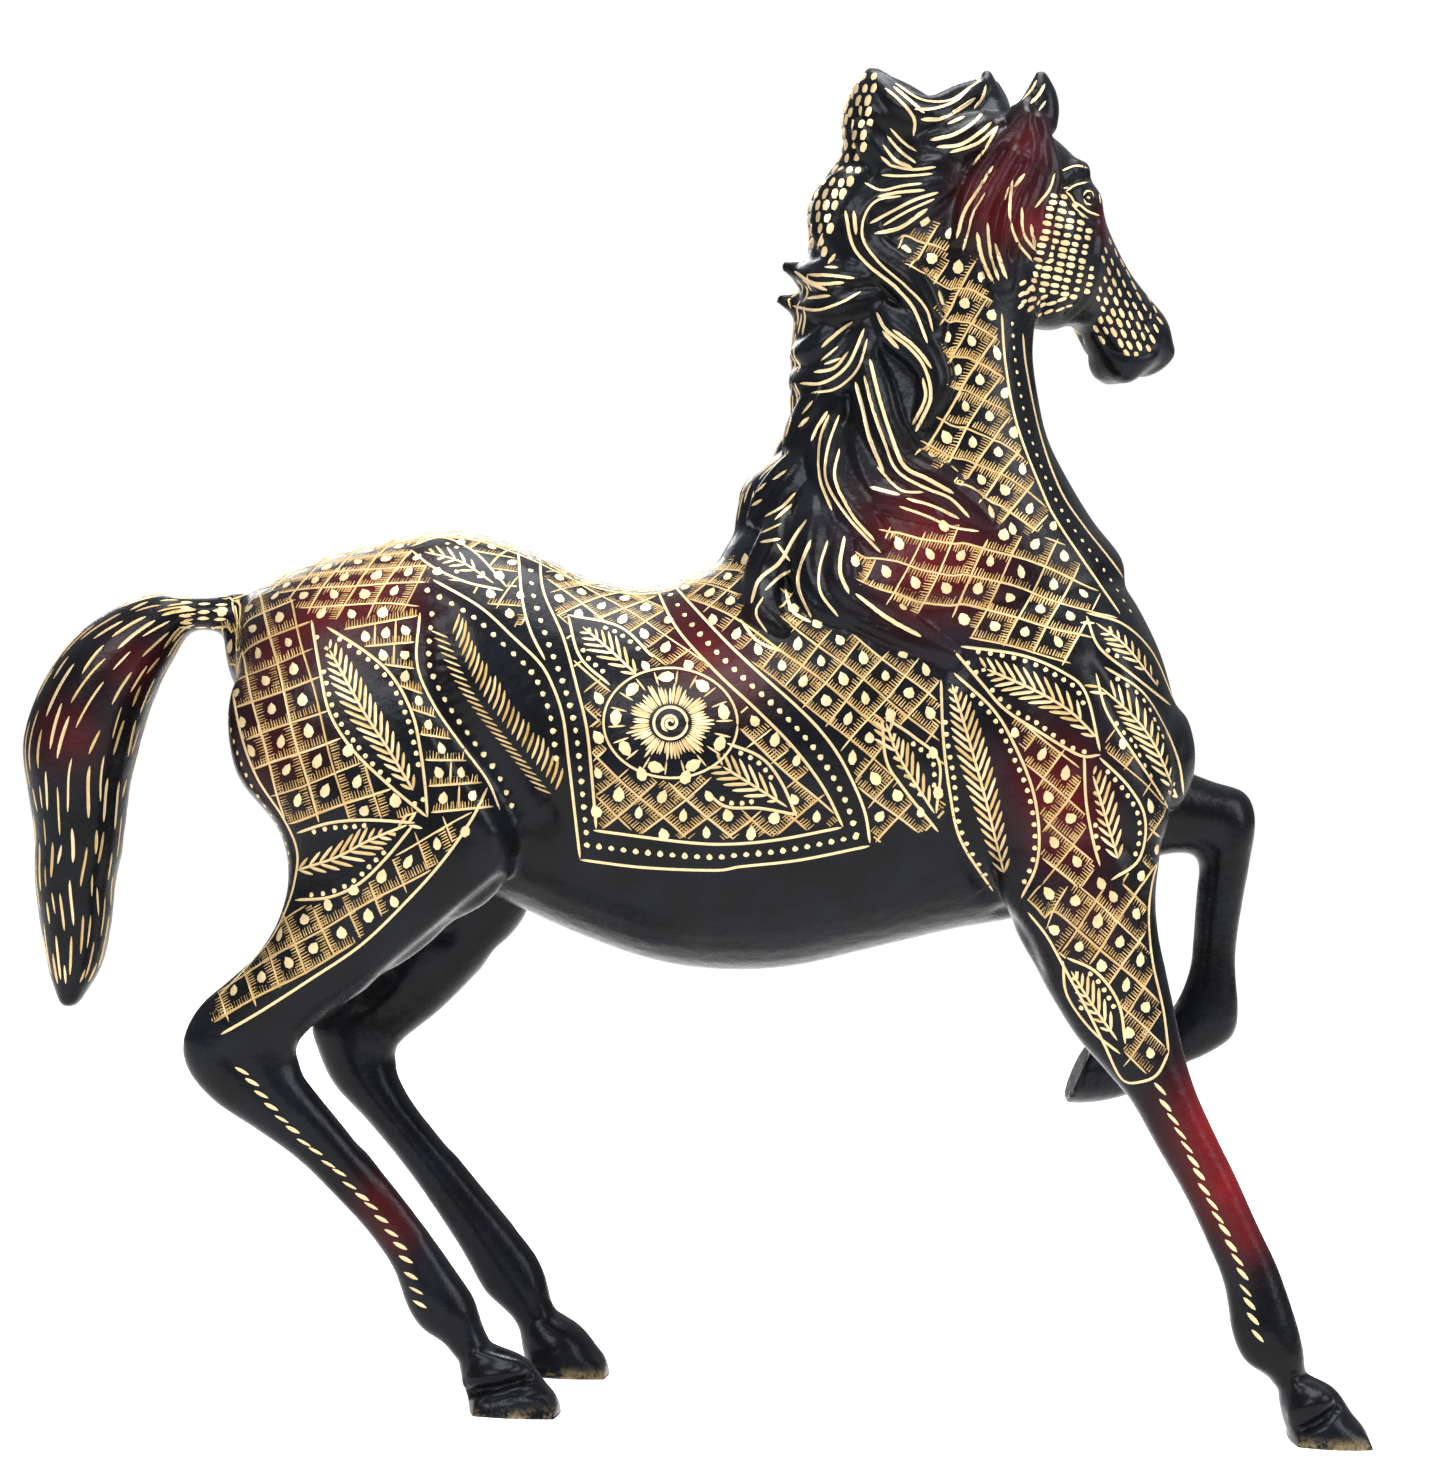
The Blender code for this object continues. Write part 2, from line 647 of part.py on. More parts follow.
def main():
    for obj in list(bpy.data.objects):
        bpy.data.objects.remove(obj)
    fine = sculpted_skin()
    cavity = reduced(largest_body(shrunk(fine, WALL)), CAVITY_TRIANGLES)
    skin = reduced(fine, SKIN_TRIANGLES)
    castings, rings = {}, {}
    for name in JOINTS:
        rings[name + "_braze"] = braze_ring(skin, cavity, name)
        if name != "neck":
            castings[name] = limb_casting(skin, name)
    for kind in ("trunk", "neck"):
        for word, mesh in shell_halves(skin, cavity, kind).items():
            castings[f"{kind}_{word}_shell"] = mesh
    corners = np.array([v.co[:] for mesh in castings.values() for v in mesh.vertices])
    low, high = corners.min(0), corners.max(0)
    shift = Vector((-(low[0] + high[0]) / 2, -(low[1] + high[1]) / 2, -GROUND))
    lacquer = material("lacquered_brass", BRASS, 0.3, 0.2)
    braze = material("bright_brass", BRAZE_COLOUR, 0.4, 1.0)
    for name, mesh in castings.items():
        place(name, mesh, lacquer, shift)
    for name, mesh in rings.items():
        place(name, mesh, braze, shift)


main()
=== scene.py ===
"""An engraved cast brass horse: the dressed and lacquered skin over its castings, its hand-cut
ornament, and the studio round it.

The sculpting tables and the ornament are in the layout frame of the sculptor's drawing, in
millimetres: X the way the horse faces, Y its left, Z up.  LAYOUT_SHIFT moves them to the row frame.
Outlines given as (x, z) are seen by an eye one metre from the middle plane, on the right side.
"""

import json
import math
import random

import bmesh
import bpy
import numpy as np
from mathutils import Matrix, Vector
from mathutils.bvhtree import BVHTree

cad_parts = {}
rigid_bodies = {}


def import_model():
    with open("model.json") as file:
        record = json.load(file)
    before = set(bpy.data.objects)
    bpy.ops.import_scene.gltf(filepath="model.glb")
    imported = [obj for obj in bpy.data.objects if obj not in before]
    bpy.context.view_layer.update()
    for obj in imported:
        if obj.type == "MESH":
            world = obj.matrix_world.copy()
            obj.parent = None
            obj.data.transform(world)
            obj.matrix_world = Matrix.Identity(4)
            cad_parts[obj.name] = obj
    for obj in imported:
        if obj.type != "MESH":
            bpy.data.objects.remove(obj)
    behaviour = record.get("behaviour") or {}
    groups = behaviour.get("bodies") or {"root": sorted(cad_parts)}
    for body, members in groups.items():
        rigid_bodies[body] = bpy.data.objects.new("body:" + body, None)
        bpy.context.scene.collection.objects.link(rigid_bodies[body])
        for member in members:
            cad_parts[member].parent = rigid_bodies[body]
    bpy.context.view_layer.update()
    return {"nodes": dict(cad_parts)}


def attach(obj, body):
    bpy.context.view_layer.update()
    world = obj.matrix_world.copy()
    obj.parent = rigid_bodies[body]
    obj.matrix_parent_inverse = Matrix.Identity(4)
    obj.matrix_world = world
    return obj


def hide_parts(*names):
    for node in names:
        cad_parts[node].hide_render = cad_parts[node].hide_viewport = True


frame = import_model()
rng = random.Random(7)

MM = 0.001
LAYOUT_SHIFT = (6.77, 0.07, -2.2)
GROUND = 2.2
EYE_DISTANCE = 1000.0
EYE_HEIGHT = 197.9
# Grid and smoothing rounds of the blended body, then of the whole skin.
BODY_VOXEL, BODY_ROUNDS = 1.3, 45
VOXEL, SMOOTHING = 0.85, 6
SHRINK, SWELL = 0.5, 0.508
# How far the end of a mass bulges, as a share of its thickness, and the rings of that dome in degrees.
CAP_DEPTH, CAP_ANGLES = 0.55, (30, 58, 80)
RING_SIDES = 40
STEPS = 6
HEAD_TURN = math.radians(37)
HEAD_PIVOT = (80.0, 1.0)
CASTINGS = ["trunk_right_shell", "trunk_left_shell", "neck_right_shell", "neck_left_shell", "head",
            "tail", "right_foreleg", "left_foreleg", "right_hind_leg", "left_hind_leg"]

BLACK = (0.003, 0.003, 0.0035)
BLUE_BLACK = (0.005, 0.006, 0.009)
MAROON = (0.115, 0.006, 0.008)
WORN_BRASS = (0.42, 0.32, 0.16)
PALE_GOLD = (0.62, 0.47, 0.26)
OCHRE = (0.36, 0.21, 0.05)
FLOOR_SIZE = 60
FLOOR_COLOUR = (0.84, 0.81, 0.785)
FLOOR_GLOW = 0.43
CAMERA_ROLL = math.radians(2.2)
FOCAL_LENGTH, SENSOR_WIDTH = 81.6, 36
LIGHT_COLOUR = (0.95, 0.97, 1.0)
AIM = (0, 0, 0.2)
# Soft lights, all turned to AIM: (name, place, size, power).
LIGHTS = [
    ("top_softbox", (0.1, 0.0, 1.4), (1.1, 0.7), 29),
    ("front_softbox", (1.1, -0.5, 0.8), (0.5, 0.9), 13),
    ("side_softbox", (-0.5, -1.3, 1.1), (0.9, 0.6), 21),
    ("back_softbox", (-0.3, 1.3, 0.9), (0.9, 0.6), 14),
]
# Patches of maroon lacquer: (x, z, radius, amount) on the outline seen by the eye.
MAROON_PATCHES = [
    (85, 380, 7, 0.25), (79, 366, 9, 0.4), (76, 353, 7, 0.25), (87.5, 354, 5, 0.6), (69, 361, 6, 0.2),
    (52, 262, 12, 0.3), (66, 254, 14, 0.35), (58, 246, 10, 0.2),
    (98, 190, 11, 0.45), (104, 174, 9, 0.4), (112, 150, 8, 0.2),
    (146, 96, 9, 0.7), (152, 82, 9, 1.0), (158, 68, 8, 0.9), (163, 55, 6, 0.45),
    (-6, 224, 9, 0.5), (-14, 236, 7, 0.3), (5, 214, 7, 0.3),
    (-118, 232, 13, 0.4), (-102, 238, 12, 0.4), (-136, 216, 10, 0.25), (-132, 190, 12, 0.2),
    (-98, 57, 6, 0.22), (-92, 47, 6, 0.3), (-196, 192, 8, 0.35), (-176, 214, 7, 0.3), (108, 357, 5, 0.35),
]
# The standing hooves: (x, y, half width), and how far their soles go from round to square.
HOOVES = [(-52.5, -31, 13), (-40, 31, 12.3), (182.8, -31, 11.4)]
HOOF_SQUARENESS = 0.6
# Squaring ends at this height, fades over this much of it, and reaches this many half widths out.
HOOF_TOP, HOOF_FADE, HOOF_RIM = 10, 7, 1.25
# (x, z) limits of the places that are mirrored limb by limb: the head is in front of and above the
# first, the forelegs are in front of and below the second, the hind legs behind and below the third.
HEAD_REGION = (74, 300)
FORELEG_REGION = (80, 152)
HIND_REGION = (-40, 205)
# In front of and below this (x, z) the left side has no maroon.
BARE_LEFT = (80, 150)
# A patch of maroon fades over this many of its radii.
PATCH_SPREAD = 1.15
# Wear starts at this height above the ground and grows downwards over the next number.
WEAR_TOP, WEAR_DEPTH, WEAR_CURVE, MOST_WEAR = 4.0, 3.6, 1.5, 0.55
# A stroke breaks where the skin falls away by more than this many times its step.
LONGEST_STEP = 4

# A station is one cross-section of a mass: the two ends of its axis in the XZ plane,
# its Y, and its half thickness across: (x1, z1, x2, z2, y, half).
TRUNK = [
    (-145, 233, -144, 206, 0, 12),
    (-138, 238.5, -138, 190, 0, 27),
    (-122, 247, -122, 172, 0, 38),
    (-100, 254, -102, 160, 0, 42),
    (-80, 257, -80, 152, 0, 42),
    (-60, 252, -62, 147, 0, 40),
    (-40, 244, -42, 139, 0, 40),
    (-20, 243, -20, 132, 0, 41.5),
    (0, 252, 0, 129.5, 0, 43),
    (22, 261, 22, 131, 0, 43),
    (45, 263, 45, 137, 0, 42),
    (70, 263, 70, 144, 0, 41),
    (95, 260, 92, 149, 0, 40),
    (114, 252, 110, 157, 0, 37),
    (127, 233, 124, 167, 0, 28),
    (134, 214, 132, 181, 0, 15),
]
NECK = [
    (118, 246, -8, 238, 0, 36),
    (117, 256, -2, 254, 0, 34),
    (108, 267, 8, 270, 0, 30),
    (100, 279, 19, 286, 0, 26.5),
    (93.5, 291, 23, 300, 0, 24),
    (90, 304, 24, 314, 0, 22),
    (88, 317, 25, 329, 0, 20.5),
    (89, 331, 29, 346, 0, 19.5),
    (91, 345, 34, 362, 0, 18.5),
    (91, 360, 43, 377, 1, 17),
    (88, 372, 54, 386, 1, 14),
]
# The head is laid out facing +X and then turned about its pivot.
HEAD = [
    (76, 386, 70, 338, 1, 13),
    (86, 385, 80, 331, 1, 16.5),
    (95, 381, 89, 326, 1, 18),
    (103, 374, 97, 325, 1, 18),
    (110, 363.5, 104, 327, 1, 14.5),
    (117, 355, 111, 326.5, 1, 12),
    (125.5, 346.5, 116, 320, 1, 11),
    (134.5, 339.5, 120, 314.5, 1, 11.3),
    (141.5, 334, 126, 312, 1, 11),
    (145, 327, 134.5, 314.5, 1, 8.5),
]
EAR = [
    (85, 382, 74, 382, 0, 6.5),
    (86, 388, 74.5, 388, 0, 6.2),
    (85, 393.5, 76, 393.5, 0, 4.6),
    (82, 398.5, 78.5, 398.5, 0, 2),
]
TAIL = [
    (-144, 237, -146, 222, 0, 8.5),
    (-153, 235, -153, 224.5, 0, 8),
    (-162, 234.5, -160, 223.5, 0, 8.5),
    (-171, 235, -165, 215, 0, 11),
    (-182, 230.5, -169, 206, 0, 14),
    (-194, 221, -172, 197, 0, 16),
    (-203, 207, -174, 188, 0, 17),
    (-208, 190, -176, 178, 0, 16.5),
    (-206, 175, -177, 167, 0, 15.5),
    (-203.5, 162, -178, 156, 0, 14.5),
    (-203, 149, -179.5, 147, 0, 13.5),
    (-201, 136, -180, 136, 0, 12),
    (-198, 122, -182.5, 123, 0, 9.5),
    (-194.5, 112, -188, 113, 0, 5),
]
RIGHT_THIGH = [
    (-66, 222, -128, 228, -20, 18),
    (-58, 200, -143, 208, -24, 20),
    (-55, 180, -141, 184, -27, 20.5),
    (-56, 163, -128, 168, -29, 19),
    (-64, 150, -124, 155, -30, 17),
    (-76, 141, -126, 142, -30, 15),
    (-88, 131, -132, 131, -30, 13),
    (-102, 120.5, -140, 123, -30, 11.5),
    (-113, 112.5, -148, 115.5, -30, 10),
    (-119, 106, -152.5, 106, -30, 9.5),
    (-119.5, 101, -151, 97, -30, 9.3),
    (-117.5, 96.5, -143, 88, -30, 9),
    (-113.5, 91.5, -130, 80, -30, 8.5),
    (-106, 83, -118, 72, -30, 7.6),
    (-96.5, 72, -107, 62, -30, 7),
    (-87, 61.5, -97.5, 52.5, -30, 7),
    (-77.5, 50, -89.5, 42, -30, 7.3),
    (-70.5, 41, -85, 31.5, -31, 8.2),
    (-65.5, 34, -80.5, 25, -31, 8.3),
    (-62.5, 26, -74, 21, -31, 7.2),
    (-60, 21, -70.5, 17, -31, 7.2),
]
RIGHT_HIND_HOOF = [
    (-59.5, 21, -69.5, 17, -31, 7.5),
    (-49.5, 17, -68.5, 12.5, -31, 10.5),
    (-44, 10.5, -67, 8, -31, 12),
    (-39.5, 4, -65.5, 2, -31, 13),
    (-39.5, -9, -65.5, -9, -31, 13),
]
LEFT_THIGH = [
    (-66, 222, -128, 228, 20, 18),
    (-56, 200, -143, 208, 24, 20),
    (-50, 180, -138, 184, 27, 20.5),
    (-49, 163, -118, 166, 29, 18.5),
    (-53, 151, -105, 151, 30, 16.5),
    (-59, 140, -102, 139, 30, 14.5),
    (-69, 127.5, -106, 125, 30, 13),
    (-82.5, 112.5, -115, 114, 30, 11.5),
    (-95, 101.5, -122.5, 106.5, 30, 9.8),
    (-97, 96, -120.5, 98, 30, 9.3),
    (-95, 90, -115, 87.5, 30, 9),
    (-90, 82, -104.5, 77, 30, 8.2),
    (-81, 71.5, -93, 64, 30, 7.4),
    (-70.5, 59.5, -83, 51, 30, 7),
    (-60, 48, -73.5, 37.5, 30, 7.3),
    (-51.5, 38, -67, 26.5, 31, 8.2),
    (-47.5, 30, -61.5, 21.5, 31, 7.9),
    (-46, 24, -57.5, 18, 31, 7.2),
    (-44, 20.5, -55.5, 14.5, 31, 7.2),
]
LEFT_HIND_HOOF = [
    (-44, 20.5, -55.5, 15, 31, 7.5),
    (-37, 16.5, -54.5, 10, 31, 10.5),
    (-31.5, 10.5, -53.5, 6, 31, 12),
    (-27.5, 4, -52.5, 1, 31, 13),
    (-27.5, -9, -52.5, -9, 31, 13),
]
SHOULDER = [
    (112, 236, 60, 240, 17, 15),
    (124, 217, 64, 222, 22, 18),
    (131, 197, 68, 200, 25, 19),
    (130, 178, 74, 178, 27, 18),
    (124, 164, 82, 163, 27, 15),
]
RIGHT_FORELEG = [
    (129, 186, 76, 184, -26, 16),
    (128, 171, 78, 168, -28, 16.5),
    (127, 158, 83, 153, -29, 16),
    (128, 147, 90, 140, -30, 14.5),
    (131, 135, 98, 127, -30, 12.5),
    (134.5, 121.5, 105.5, 116, -30, 11),
    (137, 112, 113.5, 107.5, -30, 10),
    (141, 101, 122, 98, -30, 9.2),
    (146.5, 90, 130, 85, -30, 8.2),
    (153, 78, 138.5, 71.5, -30, 7.4),
    (160, 64, 146, 57, -30, 7),
    (166.5, 51.5, 151, 45.5, -30, 7.3),
    (172, 37, 153.5, 32.5, -31, 8.2),
    (174.5, 28.5, 157.5, 24.5, -31, 8.3),
    (175, 23.5, 164, 20.5, -31, 7.2),
    (176, 20, 167, 17, -31, 7.2),
]
RIGHT_FORE_HOOF = [
    (177, 21, 167.5, 18, -31, 7.5),
    (184, 17.5, 168, 13, -31, 10.5),
    (189, 11, 169.5, 7.5, -31, 12),
    (194, 4, 171.5, 2, -31, 13),
    (194, -9, 171.5, -9, -31, 13),
]
LEFT_FORELEG = [
    (104, 207, 98, 165, 26, 16),
    (124, 202, 118, 163, 28, 15),
    (140, 195, 135, 167, 30, 12.5),
    (151, 191, 144, 168.5, 30.5, 10.8),
    (161, 188, 147, 167, 31, 10),
    (164.5, 180, 148, 163, 31, 9.3),
    (163.5, 168, 147.5, 158, 31, 8.2),
    (161.3, 152, 147, 148, 31, 7.4),
    (160, 137, 146.5, 135, 31, 7.2),
    (161.5, 122, 144, 126, 31, 7.9),
    (160.5, 113.5, 141, 120.5, 31, 8.2),
    (154, 108, 137.5, 117, 31, 7.5),
    (146, 104, 133, 114, 31, 7.1),
    (137, 100, 128.5, 112.5, 31, 7.1),
]
LEFT_FORE_HOOF = [
    (136, 97.5, 129.5, 113.5, 31, 8),
    (126, 93, 123, 113, 30, 10.5),
    (116, 91, 118, 111, 29, 12),
    (108.5, 91, 115.5, 109, 28, 12.8),
]
CREST = [
    (60, 388, 62, 378, 0, 9),
    (46, 396, 56, 376, 0, 11),
    (35, 398, 46, 370, 0, 11),
    (28.5, 388, 44, 360, 0, 12),
    (28, 374, 46, 352, 0, 13),
    (19.5, 360, 42, 344, 0, 13.5),
    (20, 346, 40, 335, 0, 14),
    (17.5, 332, 40, 322, 0, 14.5),
    (16, 316, 38, 310, 0, 15),
    (16.5, 300, 38, 297, 0, 15.5),
    (15, 286, 38, 284, 0, 16),
    (4, 275, 30, 270, 0, 15),
    (1, 262, 26, 256, 0, 13),
]
# A lock of the mane lies on the side of the neck: (x, z, radius) along it, root to tip.
SIDE_LOCKS = [
    [(71, 398, 3), (65, 391, 5), (55, 384, 6), (45, 386, 6), (38, 394, 4), (36, 398, 2.5)],
    [(76, 386, 4), (68, 380, 6), (58, 376, 6), (47, 377, 5.5), (38, 385, 4), (33, 393, 2.5)],
    [(66, 374, 4), (54, 368, 6), (44, 369, 5.5), (36, 376, 4), (33, 382, 2)],
    [(64, 366, 4), (54, 362, 5.5), (42, 360, 5.5), (35, 353, 5.5), (38, 343, 5.5), (49, 334, 5.5),
     (56, 323, 4), (57, 314, 2)],
    [(60, 361, 2.5), (51, 357, 4), (42, 351, 3), (38, 347, 2)],
    [(38, 368, 3), (29, 362, 5), (25, 353, 5), (27, 344, 4), (32, 338, 2.5)],
    [(42, 336, 4), (33, 334, 5.5), (24, 335.5, 4.5), (17, 338, 2.5)],
    [(42, 330, 4), (35, 328, 5.5), (26, 326, 5), (17, 327, 2.5)],
    [(40, 327, 4), (46, 320, 5.5), (54, 313, 5.5), (58, 304, 4.5), (54, 292, 2)],
    [(38, 324, 3.5), (36, 314, 5.5), (29, 306, 5.5), (21, 304, 4), (17, 307, 2)],
    [(32, 324, 3), (27, 317, 4.5), (21, 313, 4), (17, 314, 2)],
    [(36, 318, 4), (39, 304, 5.5), (43, 290, 6), (50, 280, 6), (60, 275, 5.5), (69, 269, 4), (76, 263, 2)],
    [(26, 308, 4), (24, 298, 5), (20, 290, 5), (17, 283, 3)],
    [(30, 302, 4), (27, 288, 5.5), (29, 276, 5.5), (36, 265, 5), (45, 256, 2)],
    [(36, 296, 3), (36, 284, 4.5), (41, 272, 4.5), (50, 269, 4), (60, 265, 2)],
    [(22, 286, 4), (17, 276, 5.5), (11, 268, 5), (7, 261, 3)],
    [(24, 278, 4), (24, 262, 6), (23, 249, 6), (28, 239, 5), (37, 233, 2)],
    [(32, 266, 4), (31, 250, 6), (34, 241, 6), (48, 233, 5.5), (66, 224, 2)],
    [(14, 268, 4), (14, 256, 6), (10, 246, 5.5), (10, 237, 4.5), (17, 230, 2)],
    [(84, 386, 5), (78, 371, 7), (70, 358, 6.5), (64, 345, 2.5)],
    [(86, 384, 5), (87, 368, 6.5), (85, 355, 5.5), (88, 343, 2.5)],
    [(80, 380, 5), (78, 362, 7), (76, 348, 5.5), (77, 334, 2.5)],
]
NAPE_SPIKES = [
    [(38, 338, 10), (28, 336, 9), (20.5, 337.5, 4.8), (15.5, 339, 2.4), (12.3, 340, 1.3)],
    [(38, 328, 10), (28, 326.5, 9), (19.5, 328, 4.8), (14.5, 329.2, 2.4), (11.2, 330.2, 1.3)],
    [(36, 312, 11), (26, 309, 9), (17, 310, 4)],
    [(30, 303, 9), (22, 299, 7), (16.5, 298, 3)],
    [(26, 288, 9), (18, 283, 7), (13, 280, 3)],
    [(16, 276, 8), (8, 271, 6), (4, 267, 3)],
]
# The thick bases of the ears and the hair that stands up round them.
EAR_TUFTS = [
    [(89.5, 370, 76, 372, -7, 11), (89, 381, 76, 381, -7.5, 9.5), (89.5, 388, 77, 387, -7.5, 7.5),
     (89.5, 392, 80.3, 390.5, -7.5, 5.5), (88.5, 396.5, 83.3, 395.5, -7.5, 3.4),
     (87.5, 398.3, 84.5, 397.8, -7.5, 2)],
    [(84, 374, 58, 374, 4, 13), (83, 383, 60, 381, 5, 12), (80.5, 388, 64, 387, 5.5, 9),
     (77.5, 393, 66, 392, 6, 6), (74.2, 398.8, 68.8, 398.5, 6.5, 3.8), (73, 401, 69.8, 400.7, 6.5, 2.2)],
]

# Worked into the blended skin: (path of (x, z), radius, depth, on both sides).  A negative depth
# raises the skin.
CREASES = [
    ([(-88, 229), (-85, 212), (-75, 196), (-63, 182), (-54, 172)], 8, 3.6, True),
    ([(-93, 226), (-94, 207), (-86, 192), (-76, 180), (-68, 168)], 5, -1.6, True),
    ([(-60, 158), (-66, 150), (-80, 138)], 5, 1.6, True),
    ([(-104, 118), (-92, 129), (-78, 141), (-66, 151)], 4, 1.3, True),
    ([(66, 221), (65, 205), (67, 188), (72, 170), (82, 156)], 4, 1.6, True),
    ([(112, 226), (121, 210), (129, 196), (134, 184)], 4, 1.5, True),
    ([(94, 160), (97, 178), (92, 196), (84, 210)], 3.5, 0.9, True),
    ([(106, 190), (118, 176), (126, 164)], 3.5, 0.9, True),
    ([(86, 150), (92, 142), (96, 134)], 4, 1.2, True),
    ([(126, 158), (129, 150), (130, 142)], 3, 0.7, True),
    ([(-144, 98), (-132, 86), (-116, 72), (-104, 58)], 3, 0.8, True),
    ([(-126, 100), (-112, 83), (-98, 66), (-84, 48)], 3, -0.6, True),
    ([(-72, -1), (-66, 0.8), (-58, 3), (-50, 6)], 1.4, 2.4, True),
    ([(-70, 3), (-62, 6), (-54, 8)], 2.6, -1.1, True),
    ([(-60, 13.5), (-54, 12), (-50, 9)], 1.2, 0.9, True),
    ([(-62, -2), (-52, 0.5), (-46, 1.5)], 1.3, 0.8, True),
    ([(-66, 12), (-58, 10.5), (-50, 9)], 1.8, -0.7, True),
    ([(181, -1), (186, 2), (191, 6)], 1.4, 2.3, False),
    ([(178, 3), (183, 7), (187, 9)], 2.8, -1.2, False),
    ([(178, 15), (185, 14), (190.5, 9)], 1.5, 0.9, False),
    ([(103, 366), (105, 364)], 4.2, -1.2, True),
    ([(99, 372.5), (103.5, 371), (106, 368)], 3.2, -1.9, True),
    ([(96, 366), (99, 361), (103.5, 358), (106, 357)], 1.3, 1.0, True),
    ([(96, 366), (100, 369), (105, 368)], 1.3, 0.9, True),
    ([(97, 371), (101, 372.5), (105, 371)], 2.2, -0.9, True),
    ([(102, 364.5), (103.5, 363)], 1.6, -1.3, True),
    ([(106, 352), (105, 343), (103, 334), (99, 329)], 2.4, 1.2, True),
    ([(96, 352), (96, 342), (95, 335)], 6, -1.3, True),
    ([(107, 323), (112, 318), (119, 317), (125, 319)], 1.2, 0.8, True),
    ([(119, 342), (123.5, 336), (126.5, 331.5)], 4.5, -2.2, True),
    ([(127.5, 320), (126.5, 315), (123.5, 312.5)], 4, 0.9, True),
    ([(114, 312), (116.5, 311)], 4, -1.4, True),
    ([(122, 327), (124, 329.5)], 1.6, 1.1, True),
    ([(88, 382), (86.5, 388), (86, 393)], 1.9, 1.4, True),
    ([(77, 377), (70, 364), (66.3, 348)], 1.8, 1.5, True),
    ([(82.5, 373), (76, 358.5), (73.8, 340)], 1.8, 1.5, True),
    ([(86.5, 372), (81.5, 358), (80, 346)], 1.7, 1.3, True),
    ([(90, 370), (86.5, 356), (86.8, 346)], 1.6, 1.2, True),
    ([(80, 376), (73.5, 362), (70.5, 346)], 2.2, -1.3, True),
    ([(85, 374), (79, 358.5), (77, 344)], 2.2, -1.2, True),
]


def smooth_rows(rows, steps):
    """Catmull-Rom curve through the rows of a table, with `steps` spans between neighbours."""
    pts = np.array(rows, float)
    pts = np.vstack([2 * pts[0] - pts[1], pts, 2 * pts[-1] - pts[-2]])
    out = []
    for i in range(1, len(pts) - 2):
        a, b, c, d = pts[i - 1:i + 3]
        for t in np.arange(steps) / steps:
            out.append(0.5 * (2 * b + (c - a) * t + (2 * a - 5 * b + 4 * c - d) * t**2
                              + (3 * b - a - 3 * c + d) * t**3))
    out.append(pts[-2])
    return np.array(out)


def ring_faces(rings, sides):
    """Quads between neighbouring rings of points, and the two end faces."""
    faces = []
    for r in range(rings - 1):
        for s in range(sides):
            n = (s + 1) % sides
            faces.append((r * sides + s, r * sides + n, (r + 1) * sides + n, (r + 1) * sides + s))
    faces.append(tuple(range(sides))[::-1])
    faces.append(tuple(range((rings - 1) * sides, rings * sides)))
    return faces


def section_axes(rows):
    """Centre, long half axis and cross half axis of each interpolated station."""
    centre = np.column_stack([(rows[:, 0] + rows[:, 2]) / 2, rows[:, 4], (rows[:, 1] + rows[:, 3]) / 2])
    zero = np.zeros(len(rows))
    axis = np.column_stack([(rows[:, 0] - rows[:, 2]) / 2, zero, (rows[:, 1] - rows[:, 3]) / 2])
    return centre, axis, np.column_stack([zero, rows[:, 5], zero])


def loft(stations, flat_end=False):
    """A closed mass through elliptical stations, with domed ends, as (points, faces)."""
    rows = smooth_rows(stations, STEPS)
    centre, axis, across = section_axes(rows)

    def cap(i, inner):
        out = centre[i] - centre[inner]
        depth = CAP_DEPTH * min(np.linalg.norm(axis[i]), rows[i, 5])
        out = out / np.linalg.norm(out) * depth
        angles = np.radians(CAP_ANGLES)
        return [(centre[i] + out * math.sin(a), axis[i] * math.cos(a), across[i] * math.cos(a))
                for a in angles]

    rings = cap(0, 1)[::-1] + list(zip(centre, axis, across))
    if not flat_end:
        rings += cap(len(centre) - 1, len(centre) - 2)
    turn = np.linspace(0, 2 * math.pi, RING_SIDES, endpoint=False)[:, None]
    points = np.vstack([c + a * np.cos(turn) + b * np.sin(turn) for c, a, b in rings])
    return points, ring_faces(len(rings), RING_SIDES)


def tube(path, y_of, sides=14):
    """A round tapered lock through (x, z, radius) points, at the Y that y_of gives for each."""
    rows = smooth_rows([(x, y_of(x, z, r), z, r) for x, z, r in path], STEPS)
    points = []
    for i, (x, y, z, r) in enumerate(rows):
        along = Vector(rows[min(i + 1, len(rows) - 1)][:3] - rows[max(i - 1, 0)][:3]).normalized()
        side = along.cross(Vector((0, 1, 0))).normalized()
        up = side.cross(along)
        for k in range(sides):
            angle = 2 * math.pi * k / sides
            spoke = math.cos(angle) * np.array(side) + math.sin(angle) * np.array(up)
            points.append(np.array((x, y, z)) + r * spoke)
    return np.array(points), ring_faces(len(rows), sides)


def turn_head(points, sign=1):
    """Points turned to the horse's left about the head's pivot, or back with sign -1."""
    c, s = math.cos(HEAD_TURN), sign * math.sin(HEAD_TURN)
    out = np.array(points, float)
    dx, dy = out[:, 0] - HEAD_PIVOT[0], out[:, 1] - HEAD_PIVOT[1]
    out[:, 0], out[:, 1] = HEAD_PIVOT[0] + c * dx - s * dy, HEAD_PIVOT[1] + s * dx + c * dy
    return out


def mirrored(stations, side):
    return [(*row[:4], side * row[4], row[5]) for row in stations]


def joined(pieces):
    """One bmesh of several (points, faces) shapes, every shape closed and facing out."""
    whole = bmesh.new()
    for points, faces in pieces:
        verts = [whole.verts.new(p) for p in points]
        for face in faces:
            whole.faces.new([verts[i] for i in face])
    bmesh.ops.recalc_face_normals(whole, faces=whole.faces)
    return whole


